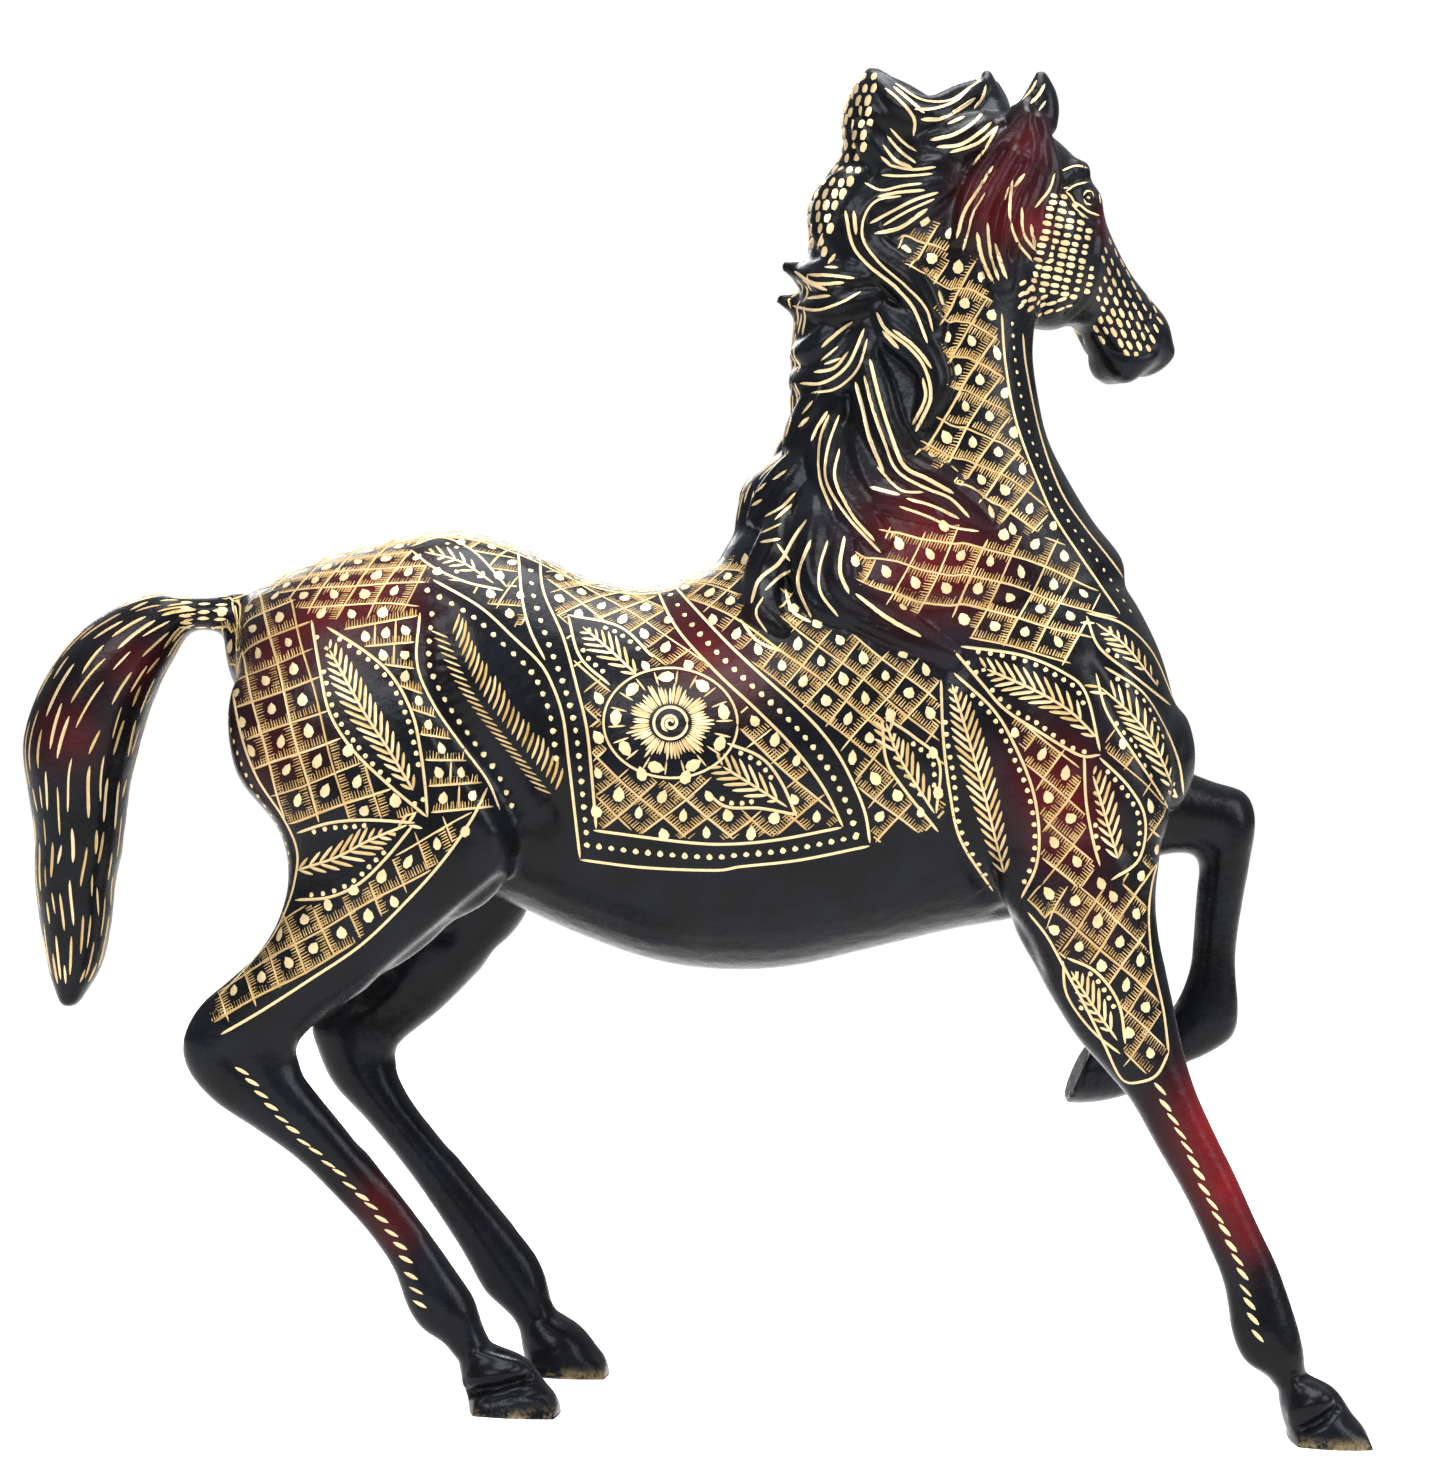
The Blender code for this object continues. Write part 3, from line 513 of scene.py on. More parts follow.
def with_modifiers(mesh, settings):
    """The mesh after a stack of modifiers: (type, {property: value}) pairs."""
    obj = bpy.data.objects.new("working_copy", mesh)
    bpy.context.scene.collection.objects.link(obj)
    for kind, values in settings:
        modifier = obj.modifiers.new(kind.lower(), kind)
        for key, value in values.items():
            setattr(modifier, key, value)
    bpy.context.view_layer.update()
    made = bpy.data.meshes.new_from_object(obj.evaluated_get(bpy.context.evaluated_depsgraph_get()))
    bpy.data.objects.remove(obj)
    return made


def strands(lock):
    """Thinner strands lying side by side along a lock: (x, z, radius, height above the lock's heart)."""
    rows = np.array(lock, float)
    step = np.gradient(rows[:, :2], axis=0)
    step /= np.linalg.norm(step, axis=1)[:, None] + 1e-9
    across = np.column_stack([-step[:, 1], step[:, 0]])
    made = []
    for offset, size in ((-0.62, 0.46), (0.0, 0.5), (0.62, 0.46)):
        path = rows.copy()
        path[:, :2] += across * offset * rows[:, 2:3]
        path[:, 2] *= size
        made.append((path, offset))
    return made


def evened(mesh, rounds):
    """Blends a mesh's creases away and keeps its volume: each round smooths, then swells as much."""
    points = coordinates(mesh)
    edges = np.empty(len(mesh.edges) * 2, np.int64)
    mesh.edges.foreach_get("vertices", edges)
    a, b = edges.reshape(-1, 2).T
    count = np.bincount(a, minlength=len(points)) + np.bincount(b, minlength=len(points))
    for _ in range(rounds):
        for factor in (SHRINK, -SWELL):
            for k in range(3):
                total = np.bincount(a, points[b, k], len(points))
                total += np.bincount(b, points[a, k], len(points))
                points[:, k] += factor * (total / count - points[:, k])
    put_back(mesh, points)
    return mesh


def as_piece(mesh):
    return coordinates(mesh).tolist(), [tuple(p.vertices) for p in mesh.polygons]


def fused(pieces, voxel, smoothing):
    """One closed skin over several shapes."""
    whole = joined(pieces)
    mesh = bpy.data.meshes.new("masses")
    whole.to_mesh(mesh)
    whole.free()
    return with_modifiers(mesh, [
        ("REMESH", {"mode": "VOXEL", "voxel_size": voxel, "adaptivity": 0.0}),
        ("SMOOTH", {"factor": 0.5, "iterations": smoothing}),
    ])


def tapered(lock):
    """A lock whose root sinks into the neck instead of ending in a stump."""
    rows = [list(row) for row in lock]
    rows[0][2] *= 0.45
    return rows


def sculpted_skin():
    """Every mass of the horse, blended into one closed skin."""
    limbs = [loft(mirrored(SHOULDER, side)) for side in (-1, 1)]
    limbs += [loft(t) for t in (TAIL, RIGHT_THIGH, LEFT_THIGH, RIGHT_FORELEG, LEFT_FORELEG)]
    body = evened(fused([loft(TRUNK), loft(NECK), loft(CREST)] + limbs, BODY_VOXEL, 4), BODY_ROUNDS)
    head = [loft(HEAD)]
    for side in (-1, 1):
        head.append(loft([(*row[:4], HEAD_PIVOT[1] + side * 10.5, row[5]) for row in EAR]))
    head = [(turn_head(points), faces) for points, faces in head]
    head += [loft(table) for table in EAR_TUFTS]
    solid = [as_piece(body)] + head
    under = joined(solid)
    tree = BVHTree.FromBMesh(under)
    under.free()
    locks = []
    for side in (-1, 1):
        def surface(x, z):
            hit = tree.ray_cast(Vector((x, side * 200, z)), Vector((0, -side, 0)))[0]
            return hit.y if hit else side * 2.0

        for lock in SIDE_LOCKS:
            locks.append(tube(tapered(lock), lambda x, z, r: surface(x, z) - side * 0.45 * r))
            for path, offset in strands(tapered(lock)):
                lift = 1.35 * math.sqrt(1 - offset**2) - 0.6
                locks.append(tube(path, lambda x, z, r: surface(x, z) + side * lift * r, 10))
    for spike in NAPE_SPIKES:
        locks.append(tube(spike, lambda x, z, r: 0.0))
    hooves = [loft(t) for t in (RIGHT_HIND_HOOF, LEFT_HIND_HOOF, RIGHT_FORE_HOOF)]
    hooves.append(loft(LEFT_FORE_HOOF, flat_end=True))
    return fused(solid + locks + hooves, VOXEL, SMOOTHING)


def coordinates(mesh):
    out = np.empty(len(mesh.vertices) * 3)
    mesh.vertices.foreach_get("co", out)
    return out.reshape(-1, 3)


def normals(mesh):
    out = np.empty(len(mesh.vertices) * 3)
    mesh.vertices.foreach_get("normal", out)
    return out.reshape(-1, 3)


def put_back(mesh, points):
    mesh.vertices.foreach_set("co", points.ravel())
    mesh.update()


def tree_of(mesh):
    work = bmesh.new()
    work.from_mesh(mesh)
    tree = BVHTree.FromBMesh(work)
    work.free()
    return tree


def seen(tree, x, z):
    """The point of the right side that the eye sees at (x, z), and its normal, or None."""
    start = Vector((0, -EYE_DISTANCE, EYE_HEIGHT))
    hit, normal, _, _ = tree.ray_cast(start, (Vector((x, 0, z)) - start).normalized())
    return (np.array(hit), np.array(normal)) if hit else None


def densified(path, step):
    """The path's points with more put between them, no further than step apart."""
    out = [np.array(path[0], float)]
    for a, b in zip(path, path[1:]):
        a, b = np.array(a, float), np.array(b, float)
        n = max(1, int(math.ceil(np.linalg.norm((b - a)[:2]) / step)))
        out += [a + (b - a) * k / n for k in range(1, n + 1)]
    return np.array(out)


def rounded(path, step):
    """A smooth curve through the path's points, with points about step apart."""
    rows = smooth_rows(path, 8) if len(path) > 2 else np.array(path, float)
    length = np.concatenate([[0], np.cumsum(np.linalg.norm(np.diff(rows[:, :2], axis=0), axis=1))])
    n = max(2, int(round(length[-1] / step)) + 1)
    at = np.linspace(0, length[-1], n)
    return np.column_stack([np.interp(at, length, rows[:, k]) for k in range(rows.shape[1])])


class Limbs:
    """Carries points near one limb of a pair to the same place on the other limb."""

    def __init__(self, near, far, marks_near, marks_far):
        self.near, self.far = section_axes(smooth_rows(near, 8)), section_axes(smooth_rows(far, 8))
        self.marks = marks_near, marks_far

    def carry(self, points):
        (ca, xa, ya), (cb, xb, yb) = self.near, self.far

        def at(rows, s):
            k = int(min(len(rows) - 2, max(0, math.floor(s))))
            return rows[k] + (rows[k + 1] - rows[k]) * (s - k), rows[k + 1] - rows[k]

        out = []
        for p in points:
            s, along = float(np.argmin(((ca - p)[:, [0, 2]]**2).sum(1))), 0.0
            for _ in range(4):
                (centre, step), (axis, swing) = at(ca, s), at(xa, s)
                gap = (p - centre - along * axis)[[0, 2]]
                slope = np.column_stack([(step + along * swing)[[0, 2]], axis[[0, 2]]])
                if abs(np.linalg.det(slope)) < 1e-9:
                    break
                ds, da = np.linalg.solve(slope, gap)
                s = min(len(ca) - 1.0, max(0.0, s + max(-3, min(3, ds))))
                along = max(-1.3, min(1.3, along + da))
            off = (p[1] - at(ca, s)[0][1]) / at(ya, s)[0][1]
            t = np.interp(s / 8, *self.marks) * 8
            out.append(at(cb, t)[0] + at(xb, t)[0] * along - at(yb, t)[0] * off)
        return np.array(out)

HIND_LEGS = Limbs(RIGHT_THIGH, LEFT_THIGH, (0, 9, 20), (0, 8, 18))
FORELEGS = Limbs(RIGHT_FORELEG, LEFT_FORELEG, (0, 7, 15), (0, 4.6, 13))


def on_foreleg(points):
    mean = points.mean(0)
    return mean[0] > FORELEG_REGION[0] and mean[2] < FORELEG_REGION[1]


def to_left(points):
    """The place on the left side that matches each point of the right side."""
    points = np.array(points, float)
    out = points.copy()
    out[:, 1] = -out[:, 1]
    mean = points.mean(0)
    if mean[0] > HEAD_REGION[0] and mean[2] > HEAD_REGION[1]:
        local = turn_head(points, -1)
        local[:, 1] = 2 * HEAD_PIVOT[1] - local[:, 1]
        return turn_head(local)
    if on_foreleg(points):
        return FORELEGS.carry(points)
    x, z = HIND_REGION
    if mean[0] < x and mean[2] < z:
        share = np.clip((z - points[:, 2:]) / 35, 0, 1) * np.clip((x - points[:, :1]) / 12, 0, 1)
        if share.max() > 0:
            return out * (1 - share) + HIND_LEGS.carry(points) * share
    return out


def pushed(points, facing, path, radius, depth):
    """Moves the skin in by depth (out if negative) near a path of 3D points, fading over radius."""
    path = np.array(path, float)
    low, high = path.min(0) - 3 * radius, path.max(0) + 3 * radius
    near = np.nonzero(((points > low) & (points < high)).all(1))[0]
    best = np.full(len(near), 1e9)
    for p in path:
        best = np.minimum(best, ((points[near] - p)**2).sum(1))
    points[near] -= facing[near] * (depth * np.exp(-best / radius**2))[:, None]


def detailed(mesh):
    """The skin with its muscles, creases, hooves and face worked in."""
    tree = tree_of(mesh)
    points, facing = coordinates(mesh), normals(mesh)
    for path, radius, depth, both in CREASES:
        found = [seen(tree, x, z) for x, z in rounded(path, radius * 0.5)]
        right = np.array([f[0] for f in found if f])
        if not len(right):
            continue
        pushed(points, facing, right, radius, depth)
        if both:
            pushed(points, facing, to_left(right), radius, depth)
    flat = points[:, 2] < GROUND
    points[flat, 2] = GROUND
    for x, y, half in HOOVES:
        across = (points[:, :2] - (x, y)) / half
        radius, most = np.linalg.norm(across, axis=1), np.abs(across).max(axis=1) + 1e-9
        low = np.clip((HOOF_TOP - points[:, 2]) / HOOF_FADE, 0, 1)
        corner = low * (radius < HOOF_RIM) * HOOF_SQUARENESS
        points[:, :2] += across * half * ((radius / most - 1) * corner)[:, None]
    put_back(mesh, points)
    return mesh


def to_row(points):
    """Layout millimetres to metres in the row frame."""
    return (np.asarray(points) + np.array(LAYOUT_SHIFT)) * MM


def castings_tree():
    """A tree of the CAD castings' faces, and the casting each face belongs to."""
    verts, faces, owner = [], [], []
    for index, name in enumerate(CASTINGS):
        mesh = frame["nodes"][name].data
        mesh.calc_loop_triangles()
        start = len(verts)
        verts += [v.co.copy() for v in mesh.vertices]
        for triangle in mesh.loop_triangles:
            faces.append([start + i for i in triangle.vertices])
            owner.append(index)
    return BVHTree.FromPolygons(verts, faces), owner


def split_skin(mesh, tree, owner):
    """The skin as one object for each casting.  Each keeps the whole skin's normals at its rim."""
    points, facing = to_row(coordinates(mesh)), normals(mesh)
    quads = np.array([tuple(p.vertices) for p in mesh.polygons])
    centres = points[quads].mean(1)
    group = np.array([owner[tree.find_nearest(Vector(c))[2]] for c in centres])
    made = {}
    for index, name in enumerate(CASTINGS):
        mine = quads[group == index]
        used, inverse = np.unique(mine, return_inverse=True)
        piece = bpy.data.meshes.new(name + "_skin")
        piece.from_pydata(points[used].tolist(), [], inverse.reshape(-1, 4).tolist())
        piece.update()
        piece.shade_smooth()
        piece.normals_split_custom_set_from_vertices(facing[used].tolist())
        obj = bpy.data.objects.new(name + "_skin", piece)
        bpy.context.scene.collection.objects.link(obj)
        made[name] = obj
    return made


class Nodes:
    """Makes and links the nodes of one material."""

    def __init__(self, name):
        self.material = bpy.data.materials.new(name)
        self.material.use_nodes = True
        tree = self.material.node_tree
        self.add, self.link = tree.nodes.new, tree.links.new
        self.shader = tree.nodes["Principled BSDF"]
        self.where = self.add("ShaderNodeTexCoord").outputs["Object"]

    def fill(self, node, values):
        """Gives a node's inputs their values: another node's output, a colour or a number."""
        for key, value in values.items():
            if isinstance(value, bpy.types.NodeSocket):
                self.link(value, node.inputs[key])
            else:
                node.inputs[key].default_value = (*value, 1) if isinstance(value, tuple) else value

    def noise(self, scale, detail=3.0):
        node = self.add("ShaderNodeTexNoise")
        self.fill(node, {"Vector": self.where, "Scale": scale, "Detail": detail})
        return node.outputs["Fac"]

    def ramp(self, source, low, high):
        node = self.add("ShaderNodeMapRange")
        self.fill(node, {"Value": source, "From Min": low, "From Max": high})
        return node.outputs["Result"]

    def math(self, operation, *values):
        node = self.add("ShaderNodeMath")
        node.operation = operation
        self.fill(node, dict(enumerate(values)))
        return node.outputs["Value"]

    def mix(self, factor, first, second):
        node = self.add("ShaderNodeMix")
        node.data_type = "RGBA"
        self.fill(node, {0: factor, 6: first, 7: second})
        return node.outputs[2]

    def attribute(self, name):
        node = self.add("ShaderNodeAttribute")
        node.attribute_name = name
        return node.outputs["Fac"]


def lacquer_material():
    """Glossy black lacquer with maroon patches over cast brass, rubbed through where a point is worn."""
    n = Nodes("lacquered_brass")
    uneven = n.math("ADD", 0.65, n.math("MULTIPLY", n.ramp(n.noise(70), 0.3, 0.7), 0.45))
    maroon = n.math("MULTIPLY", n.attribute("maroon"), uneven)
    black = n.mix(n.ramp(n.noise(60), 0.4, 0.7), BLACK, BLUE_BLACK)
    painted = n.mix(n.math("MINIMUM", maroon, 1.0), black, MAROON)
    coarse, fine = n.math("MULTIPLY", n.noise(130), 0.6), n.math("MULTIPLY", n.noise(900, 4.0), 0.4)
    worn = n.math("MULTIPLY", n.attribute("wear"), n.ramp(n.math("ADD", coarse, fine), 0.42, 0.6))
    rough = n.math("ADD", 0.17, n.math("MULTIPLY", n.noise(420, 4.0), 0.18))
    height = n.math("ADD", n.noise(260, 2.0), n.math("MULTIPLY", n.noise(1500, 3.0), 0.25))
    bump = n.add("ShaderNodeBump")
    n.fill(bump, {"Strength": 0.35, "Distance": 0.0006, "Height": height})
    n.fill(n.shader, {
        "Base Color": n.mix(worn, painted, WORN_BRASS),
        "Metallic": n.math("MULTIPLY", worn, 0.9),
        "Roughness": n.math("ADD", rough, n.math("MULTIPLY", worn, 0.15)),
        "Specular IOR Level": 0.1,
        "Normal": bump.outputs["Normal"],
    })
    return n.material


def brass_material():
    """Freshly cut brass: pale gold in broad cuts and ochre in the fine ones."""
    n = Nodes("bright_brass")
    tone = n.math("MULTIPLY_ADD", n.noise(700, 2.0), 0.5, n.attribute("tone"))
    colours = n.add("ShaderNodeValToRGB")
    for element, place, colour in zip(colours.color_ramp.elements, (0.15, 1.0), (OCHRE, PALE_GOLD)):
        element.position, element.color = place, (*colour, 1)
    n.fill(colours, {"Fac": tone})
    n.fill(n.shader, {"Base Color": colours.outputs["Color"], "Metallic": 0.65, "Roughness": 0.45})
    return n.material

# The ornament, as outlines of (x, z) seen by the eye from the right.
THIGH_FRONT = [(-91.6, 232.3), (-91.9, 217.3), (-86.7, 205.6), (-78.2, 194), (-69.7, 183.3), (-65.5, 174.5)]
GROOVE_EDGE = [(-88, 242.3), (-73.8, 234.8), (-63.6, 226.2), (-55.3, 218.7), (-51.1, 211.8), (-47.8, 202.9),
               (-45.8, 191.1), (-43.9, 179.2), (-41.1, 161.1)]
BAND_TOP = [(-63.1, 252.2), (-61.4, 238.2), (-58.6, 228.5), (-53.8, 219.7)]
CLOTH_LEFT = [(-56.6, 252.4), (-55.2, 240.5), (-48.7, 226.8), (-44, 212), (-40.5, 199.3), (-38.4, 184.5),
              (-36.6, 170)]
CLOTH_BOTTOM = [(-37.4, 169.5), (-10, 167), (4, 167), (18.6, 169), (36.5, 173.2)]
HEM_BOTTOM = [(-41, 160.6), (-22, 159), (-0.7, 159), (7, 160.4), (24.3, 163), (45, 168)]
CLOTH_RIGHT = [(-21.8, 243), (-14.5, 230.2), (-2.4, 217.8), (9.9, 207.2), (21.1, 196.6), (30.5, 185),
               (36.9, 173.4)]
HEM_RIGHT = [(-16.9, 244), (-2.9, 230), (4.2, 223.4), (12.6, 216.3), (20.6, 209.7), (28, 202.9),
             (34.3, 195.3), (39.4, 186.6), (43.3, 177.8), (45.1, 168.9)]
HAUNCH_REAR = [(-150.5, 226), (-148.2, 215.2), (-143.9, 195.4), (-138.3, 181.5), (-130.1, 169.9),
               (-125.5, 160.3), (-125.8, 151.3), (-127.9, 143.1), (-132, 134), (-139, 125), (-147, 116)]
GASKIN_FRONT = [(-69.5, 181), (-73.5, 172), (-81, 160), (-90.7, 148), (-105, 133), (-120.7, 121.4),
                (-135, 111.4), (-146, 104.5)]
THROAT_BACK = [(78.3, 328), (80, 313), (84.2, 294.8), (92.9, 274.5), (98.1, 265.5), (108, 252), (117, 240)]
THROAT_FRONT = [(84.8, 322.4), (86.3, 312), (91.1, 292.8), (97.7, 276.4), (105, 266), (116, 253),
                (123, 242)]
FORELEG_REAR = [(93, 150), (99, 143), (105, 133), (111, 123), (117, 112), (122.9, 101.4), (129, 101),
                (133.5, 103.5), (136.5, 110)]
FORELEG_FRONT = [(136.5, 110), (134.3, 123), (130.6, 137), (129, 150), (129.6, 160), (131.5, 168)]

# Leaves: upper or left outline, lower or right outline, midrib from root to tip.
LEAVES = [
    ([(-123.8, 228.9), (-120.7, 214.1), (-117.3, 201.4), (-110, 190.7), (-99.5, 181.2), (-87.2, 171.6)],
     [(-119.1, 227), (-106.9, 219.8), (-98.9, 212.9), (-92.8, 202.4), (-90.1, 192.4), (-88.2, 181.7),
      (-87, 171.6)], [(-118, 220.2), (-107.5, 202.7), (-99.9, 192), (-91.6, 179.4)]),
    ([(-125.7, 165.3), (-116, 168.7), (-105, 170), (-90.7, 169.7)],
     [(-125.5, 145.3), (-115.2, 146.6), (-106.4, 151.1), (-98.6, 159.2), (-91.2, 169)],
     [(-93, 169), (-103.9, 164.1), (-113.5, 158.6), (-125, 154.3)]),
    ([(-47.5, 233.4), (-31.8, 230.4), (-21.7, 221.8)], [(-47.5, 233.4), (-43.4, 221), (-34.2, 213)],
     [(-42.9, 230), (-34, 223), (-26.5, 216.5)]),
    ([(1.4, 197), (11.4, 193.3), (17.6, 186.6), (23.1, 175.8)],
     [(-4, 181.9), (2.1, 178), (12, 178), (23.1, 176.4)], [(0.5, 189.9), (10, 184.5), (20, 178.7)]),
    ([(64.4, 218.3), (65.7, 201.3), (68.4, 184.4), (72.2, 170.6), (82.3, 156)],
     [(68.2, 220.5), (80.2, 210.2), (86.9, 200), (92.7, 187.4), (95.3, 174.7), (94.9, 163.9),
      (90.8, 154.2)], [(67.7, 217.2), (73.1, 201.6), (79.2, 182.7), (85.4, 161.5)]),
    ([(70, 228.5), (88, 226.6), (101, 221.8), (107.8, 215.8), (112.6, 198.9)],
     [(68, 227.1), (76.7, 217.6), (83.5, 210.4), (93.3, 204.5), (106.4, 197.5), (112.7, 197.8)],
     [(78, 222), (92.9, 216.1), (103.5, 210.2), (111.3, 203.1)]),
    ([(107.9, 197.6), (109, 183.9), (111.6, 172), (113.9, 164.7)],
     [(112.5, 197), (121.7, 188.5), (126.8, 179.2), (125.5, 167.2), (117.4, 160.6)],
     [(110.8, 191.4), (114.5, 180.8), (119.2, 167)]),
    ([(110.5, 222), (114, 211), (121.5, 200), (129.5, 189), (134.5, 181)],
     [(113, 224), (124, 217.5), (131, 208), (136, 197), (138, 187)],
     [(111.9, 218), (122.9, 208.9), (129.5, 200), (136, 186)]),
    ([(47.3, 206), (48.9, 194.1), (53.4, 186.8), (65.3, 173)],
     [(48, 206.5), (57, 201), (64.8, 193.8), (64.5, 178.5)], [(48.5, 204.8), (53.1, 194.3), (64, 178.5)]),
    ([(104, 136), (105.5, 126), (113, 116), (122, 109)],
     [(105, 137), (114, 133), (121, 124), (123.5, 112)], [(106.5, 133), (113, 123.5), (121, 113)]),
    ([(107, 240), (118, 237), (127, 229), (134, 215)], [(107, 239), (111, 230), (120, 223), (133, 213.5)],
     [(110, 237), (119, 230.5), (129, 219)]),
    ([(-95, 252), (-86, 255), (-76, 251), (-66, 241)], [(-95, 251), (-88, 246), (-78, 242), (-67, 240)],
     [(-91, 250.5), (-80, 248), (-70, 242)]),
]
FLANK_RIB = [(-82.4, 225.5), (-74.9, 210.8), (-65.5, 198.4), (-57.1, 188.8), (-49.9, 180.2)]
ROSETTE = (-15.7, 202.4)

# Where the skin is unrolled from: (x, z) points of a line across the flank or a leg.
FLANK_LINE = ((-150, 200), (150, 200))
GASKIN_LINE = ((-148, 110), (-80, 166))
FORELEG_LINE = ((90, 135), (140, 125))
# Fields of squares: (outline, corner of a square, its two edges as (angle in degrees, length), line
# from which the skin is unrolled).
FIELDS = [
    ([(-152, 236), (-142, 240), (-125, 234), (-123.8, 228.9), (-120.7, 214.1), (-117.3, 201.4),
      (-110, 190.7), (-99.5, 181.2), (-88, 171.6), (-105, 170), (-116, 168.7), (-127, 166), (-132, 172.5),
      (-139.5, 184), (-145, 197), (-149.5, 216)], (-138, 200), (22, 9.2), (-72, 9.2), FLANK_LINE),
    ([(-142, 240), (-120, 262), (-60, 262), (-63.1, 252.2), (-61.4, 238.2), (-58.6, 230), (-63.6, 229),
      (-73.8, 237.4), (-88, 244.5), (-91.5, 238), (-91.5, 232.5), (-109, 229.3), (-119, 228.5),
      (-126, 231)], (-104, 240), (2, 9.0), (70, 7.8), FLANK_LINE),
    ([(-71, 174), (-76.5, 166), (-83, 158), (-91.2, 149.5), (-105.5, 134.5), (-121, 123), (-135, 113),
      (-146, 106), (-151, 110), (-145, 122), (-138, 133), (-133, 143), (-114, 145), (-105, 150),
      (-97.5, 158), (-90, 169), (-86, 171.6)], (-108, 142), (31, 8.8), (-66, 8.6), GASKIN_LINE),
    ([(-56, 252.4), (-54.5, 240.5), (-48, 226.8), (-43.3, 212), (-39.8, 199.3), (-37.7, 184.5),
      (-36.6, 170.2), (-10, 167.8), (4, 167.8), (18.6, 169.8), (36, 174), (30, 185), (20.6, 196.4),
      (9.4, 207), (-3, 217.6), (-15, 230), (-22, 243), (-24, 255), (-56, 260)], (-15.7, 176), (42, 8.4),
     (-40, 8.4), FLANK_LINE),
    ([(-16, 243), (-2.4, 230.6), (4.7, 224), (13.1, 216.9), (21.1, 210.3), (28.5, 203.5), (34.8, 195.9),
      (39.9, 187.2), (43.8, 178.4), (46, 168.5), (56, 172), (66, 173), (68, 185), (65, 201), (64, 219),
      (66, 223), (50, 231), (38, 236), (28, 241), (20, 246), (8, 252), (-6, 254)], (40, 205), (-37, 8.3),
     (52, 8.3), FLANK_LINE),
    ([(66, 224), (74, 234), (60, 238), (46, 236), (36, 242), (34, 254), (40, 264), (52, 264), (66, 268),
      (80, 265), (88, 262), (99, 262), (108, 250), (117, 238), (111, 236), (106, 226), (101, 223),
      (88, 228), (72, 230)], (84, 244), (-11, 9.2), (66, 9.2), FLANK_LINE),
    ([(46, 352), (56, 356), (68, 350), (74, 336), (77, 328), (79, 313), (83.2, 294.8), (91.9, 274.5),
      (97.1, 265), (88, 262), (78, 266), (64, 278), (50, 284), (52, 292), (60, 300), (61, 312), (56, 322),
      (58, 334), (46, 344)], (70, 300), (58, 9), (-28, 8.4), FLANK_LINE),
    ([(70, 228), (76.7, 218.6), (84, 211.4), (93.8, 205.5), (107, 198.5), (108, 184), (110.6, 172),
      (113, 163), (117.4, 159.8), (126.3, 166.5), (128, 180), (123, 189), (113.5, 198), (115, 209),
      (122, 200), (130, 189), (136, 180), (133, 170), (128, 162), (116, 158), (95, 158), (95.8, 163),
      (96.3, 174.7), (93.7, 187.4), (87.9, 200), (81.2, 211)], (104, 168), (57, 8.8), (-38, 8.8),
     FLANK_LINE),
    ([(95, 159), (116, 158.5), (128, 162), (132, 168), (129, 160), (128.4, 150), (130, 137), (133.7, 123),
      (136, 111), (133, 104.5), (129, 102), (123.5, 102.6), (118, 112.5), (112, 123.5), (106, 133.5),
      (94.5, 149.5), (91.5, 154)], (112, 140), (57, 8.8), (-40, 8.8), FORELEG_LINE),
]
# Rungs between two curves: (one curve, the other, number of squares).
LADDERS = [
    ([(-114, 226.5), (-103.7, 218.5), (-99.5, 214), (-95.9, 209.1), (-92.3, 202), (-89.2, 192.5),
      (-87.3, 182), (-86, 173)],
     [(-92.2, 231.5), (-92.9, 217), (-88, 205), (-79.5, 193.3), (-71.5, 183), (-67.5, 175.5)], 8),
]
# Rows of scale-like cuts: (outline, first cut, step along a row, step between rows, angle, size,
# stagger of every other row).
SCALES = [
    ([(90, 366), (96, 364), (103, 356.5), (105.5, 351), (105, 342), (103.5, 334.5), (98, 333), (90, 334),
      (84, 337.5), (87.5, 347), (89.5, 356)], (96, 348), (-8, 3.2), (-101, 2.2), -8, (2.75, 1.5), 0),
    ([(84.5, 338), (90, 333.5), (101, 333), (103, 331), (96, 329), (88, 327), (84, 331)], (90, 331),
     (18, 3.2), (-70, 2.4), 25, (2.9, 1.3), 0.5),
    ([(82, 341), (88, 338), (90, 333), (88, 328), (82, 330)], (84, 334), (40, 3.4), (-60, 2.6), 35,
     (3.0, 1.4), 0.5),
    ([(108.5, 355), (112.5, 352.5), (120, 343.5), (128, 334.5), (129.5, 330.5), (127, 324), (124.5, 320),
      (117, 315), (113, 322), (107.5, 320), (105.5, 327), (107, 338)], (118, 332), (-60, 3.7), (32, 2.25),
     -60, (3.0, 1.35), 0.5),
    ([(31, 400), (40, 398), (37.5, 389), (36, 376), (34, 368), (30, 362), (27, 352), (26, 343), (20, 345),
      (18, 352), (21, 362), (26, 368), (29, 374), (31, 379), (27, 388)], (30, 376), (4, 2.75), (78, 3.6),
     78, (3.1, 2.1), 0.5),
]
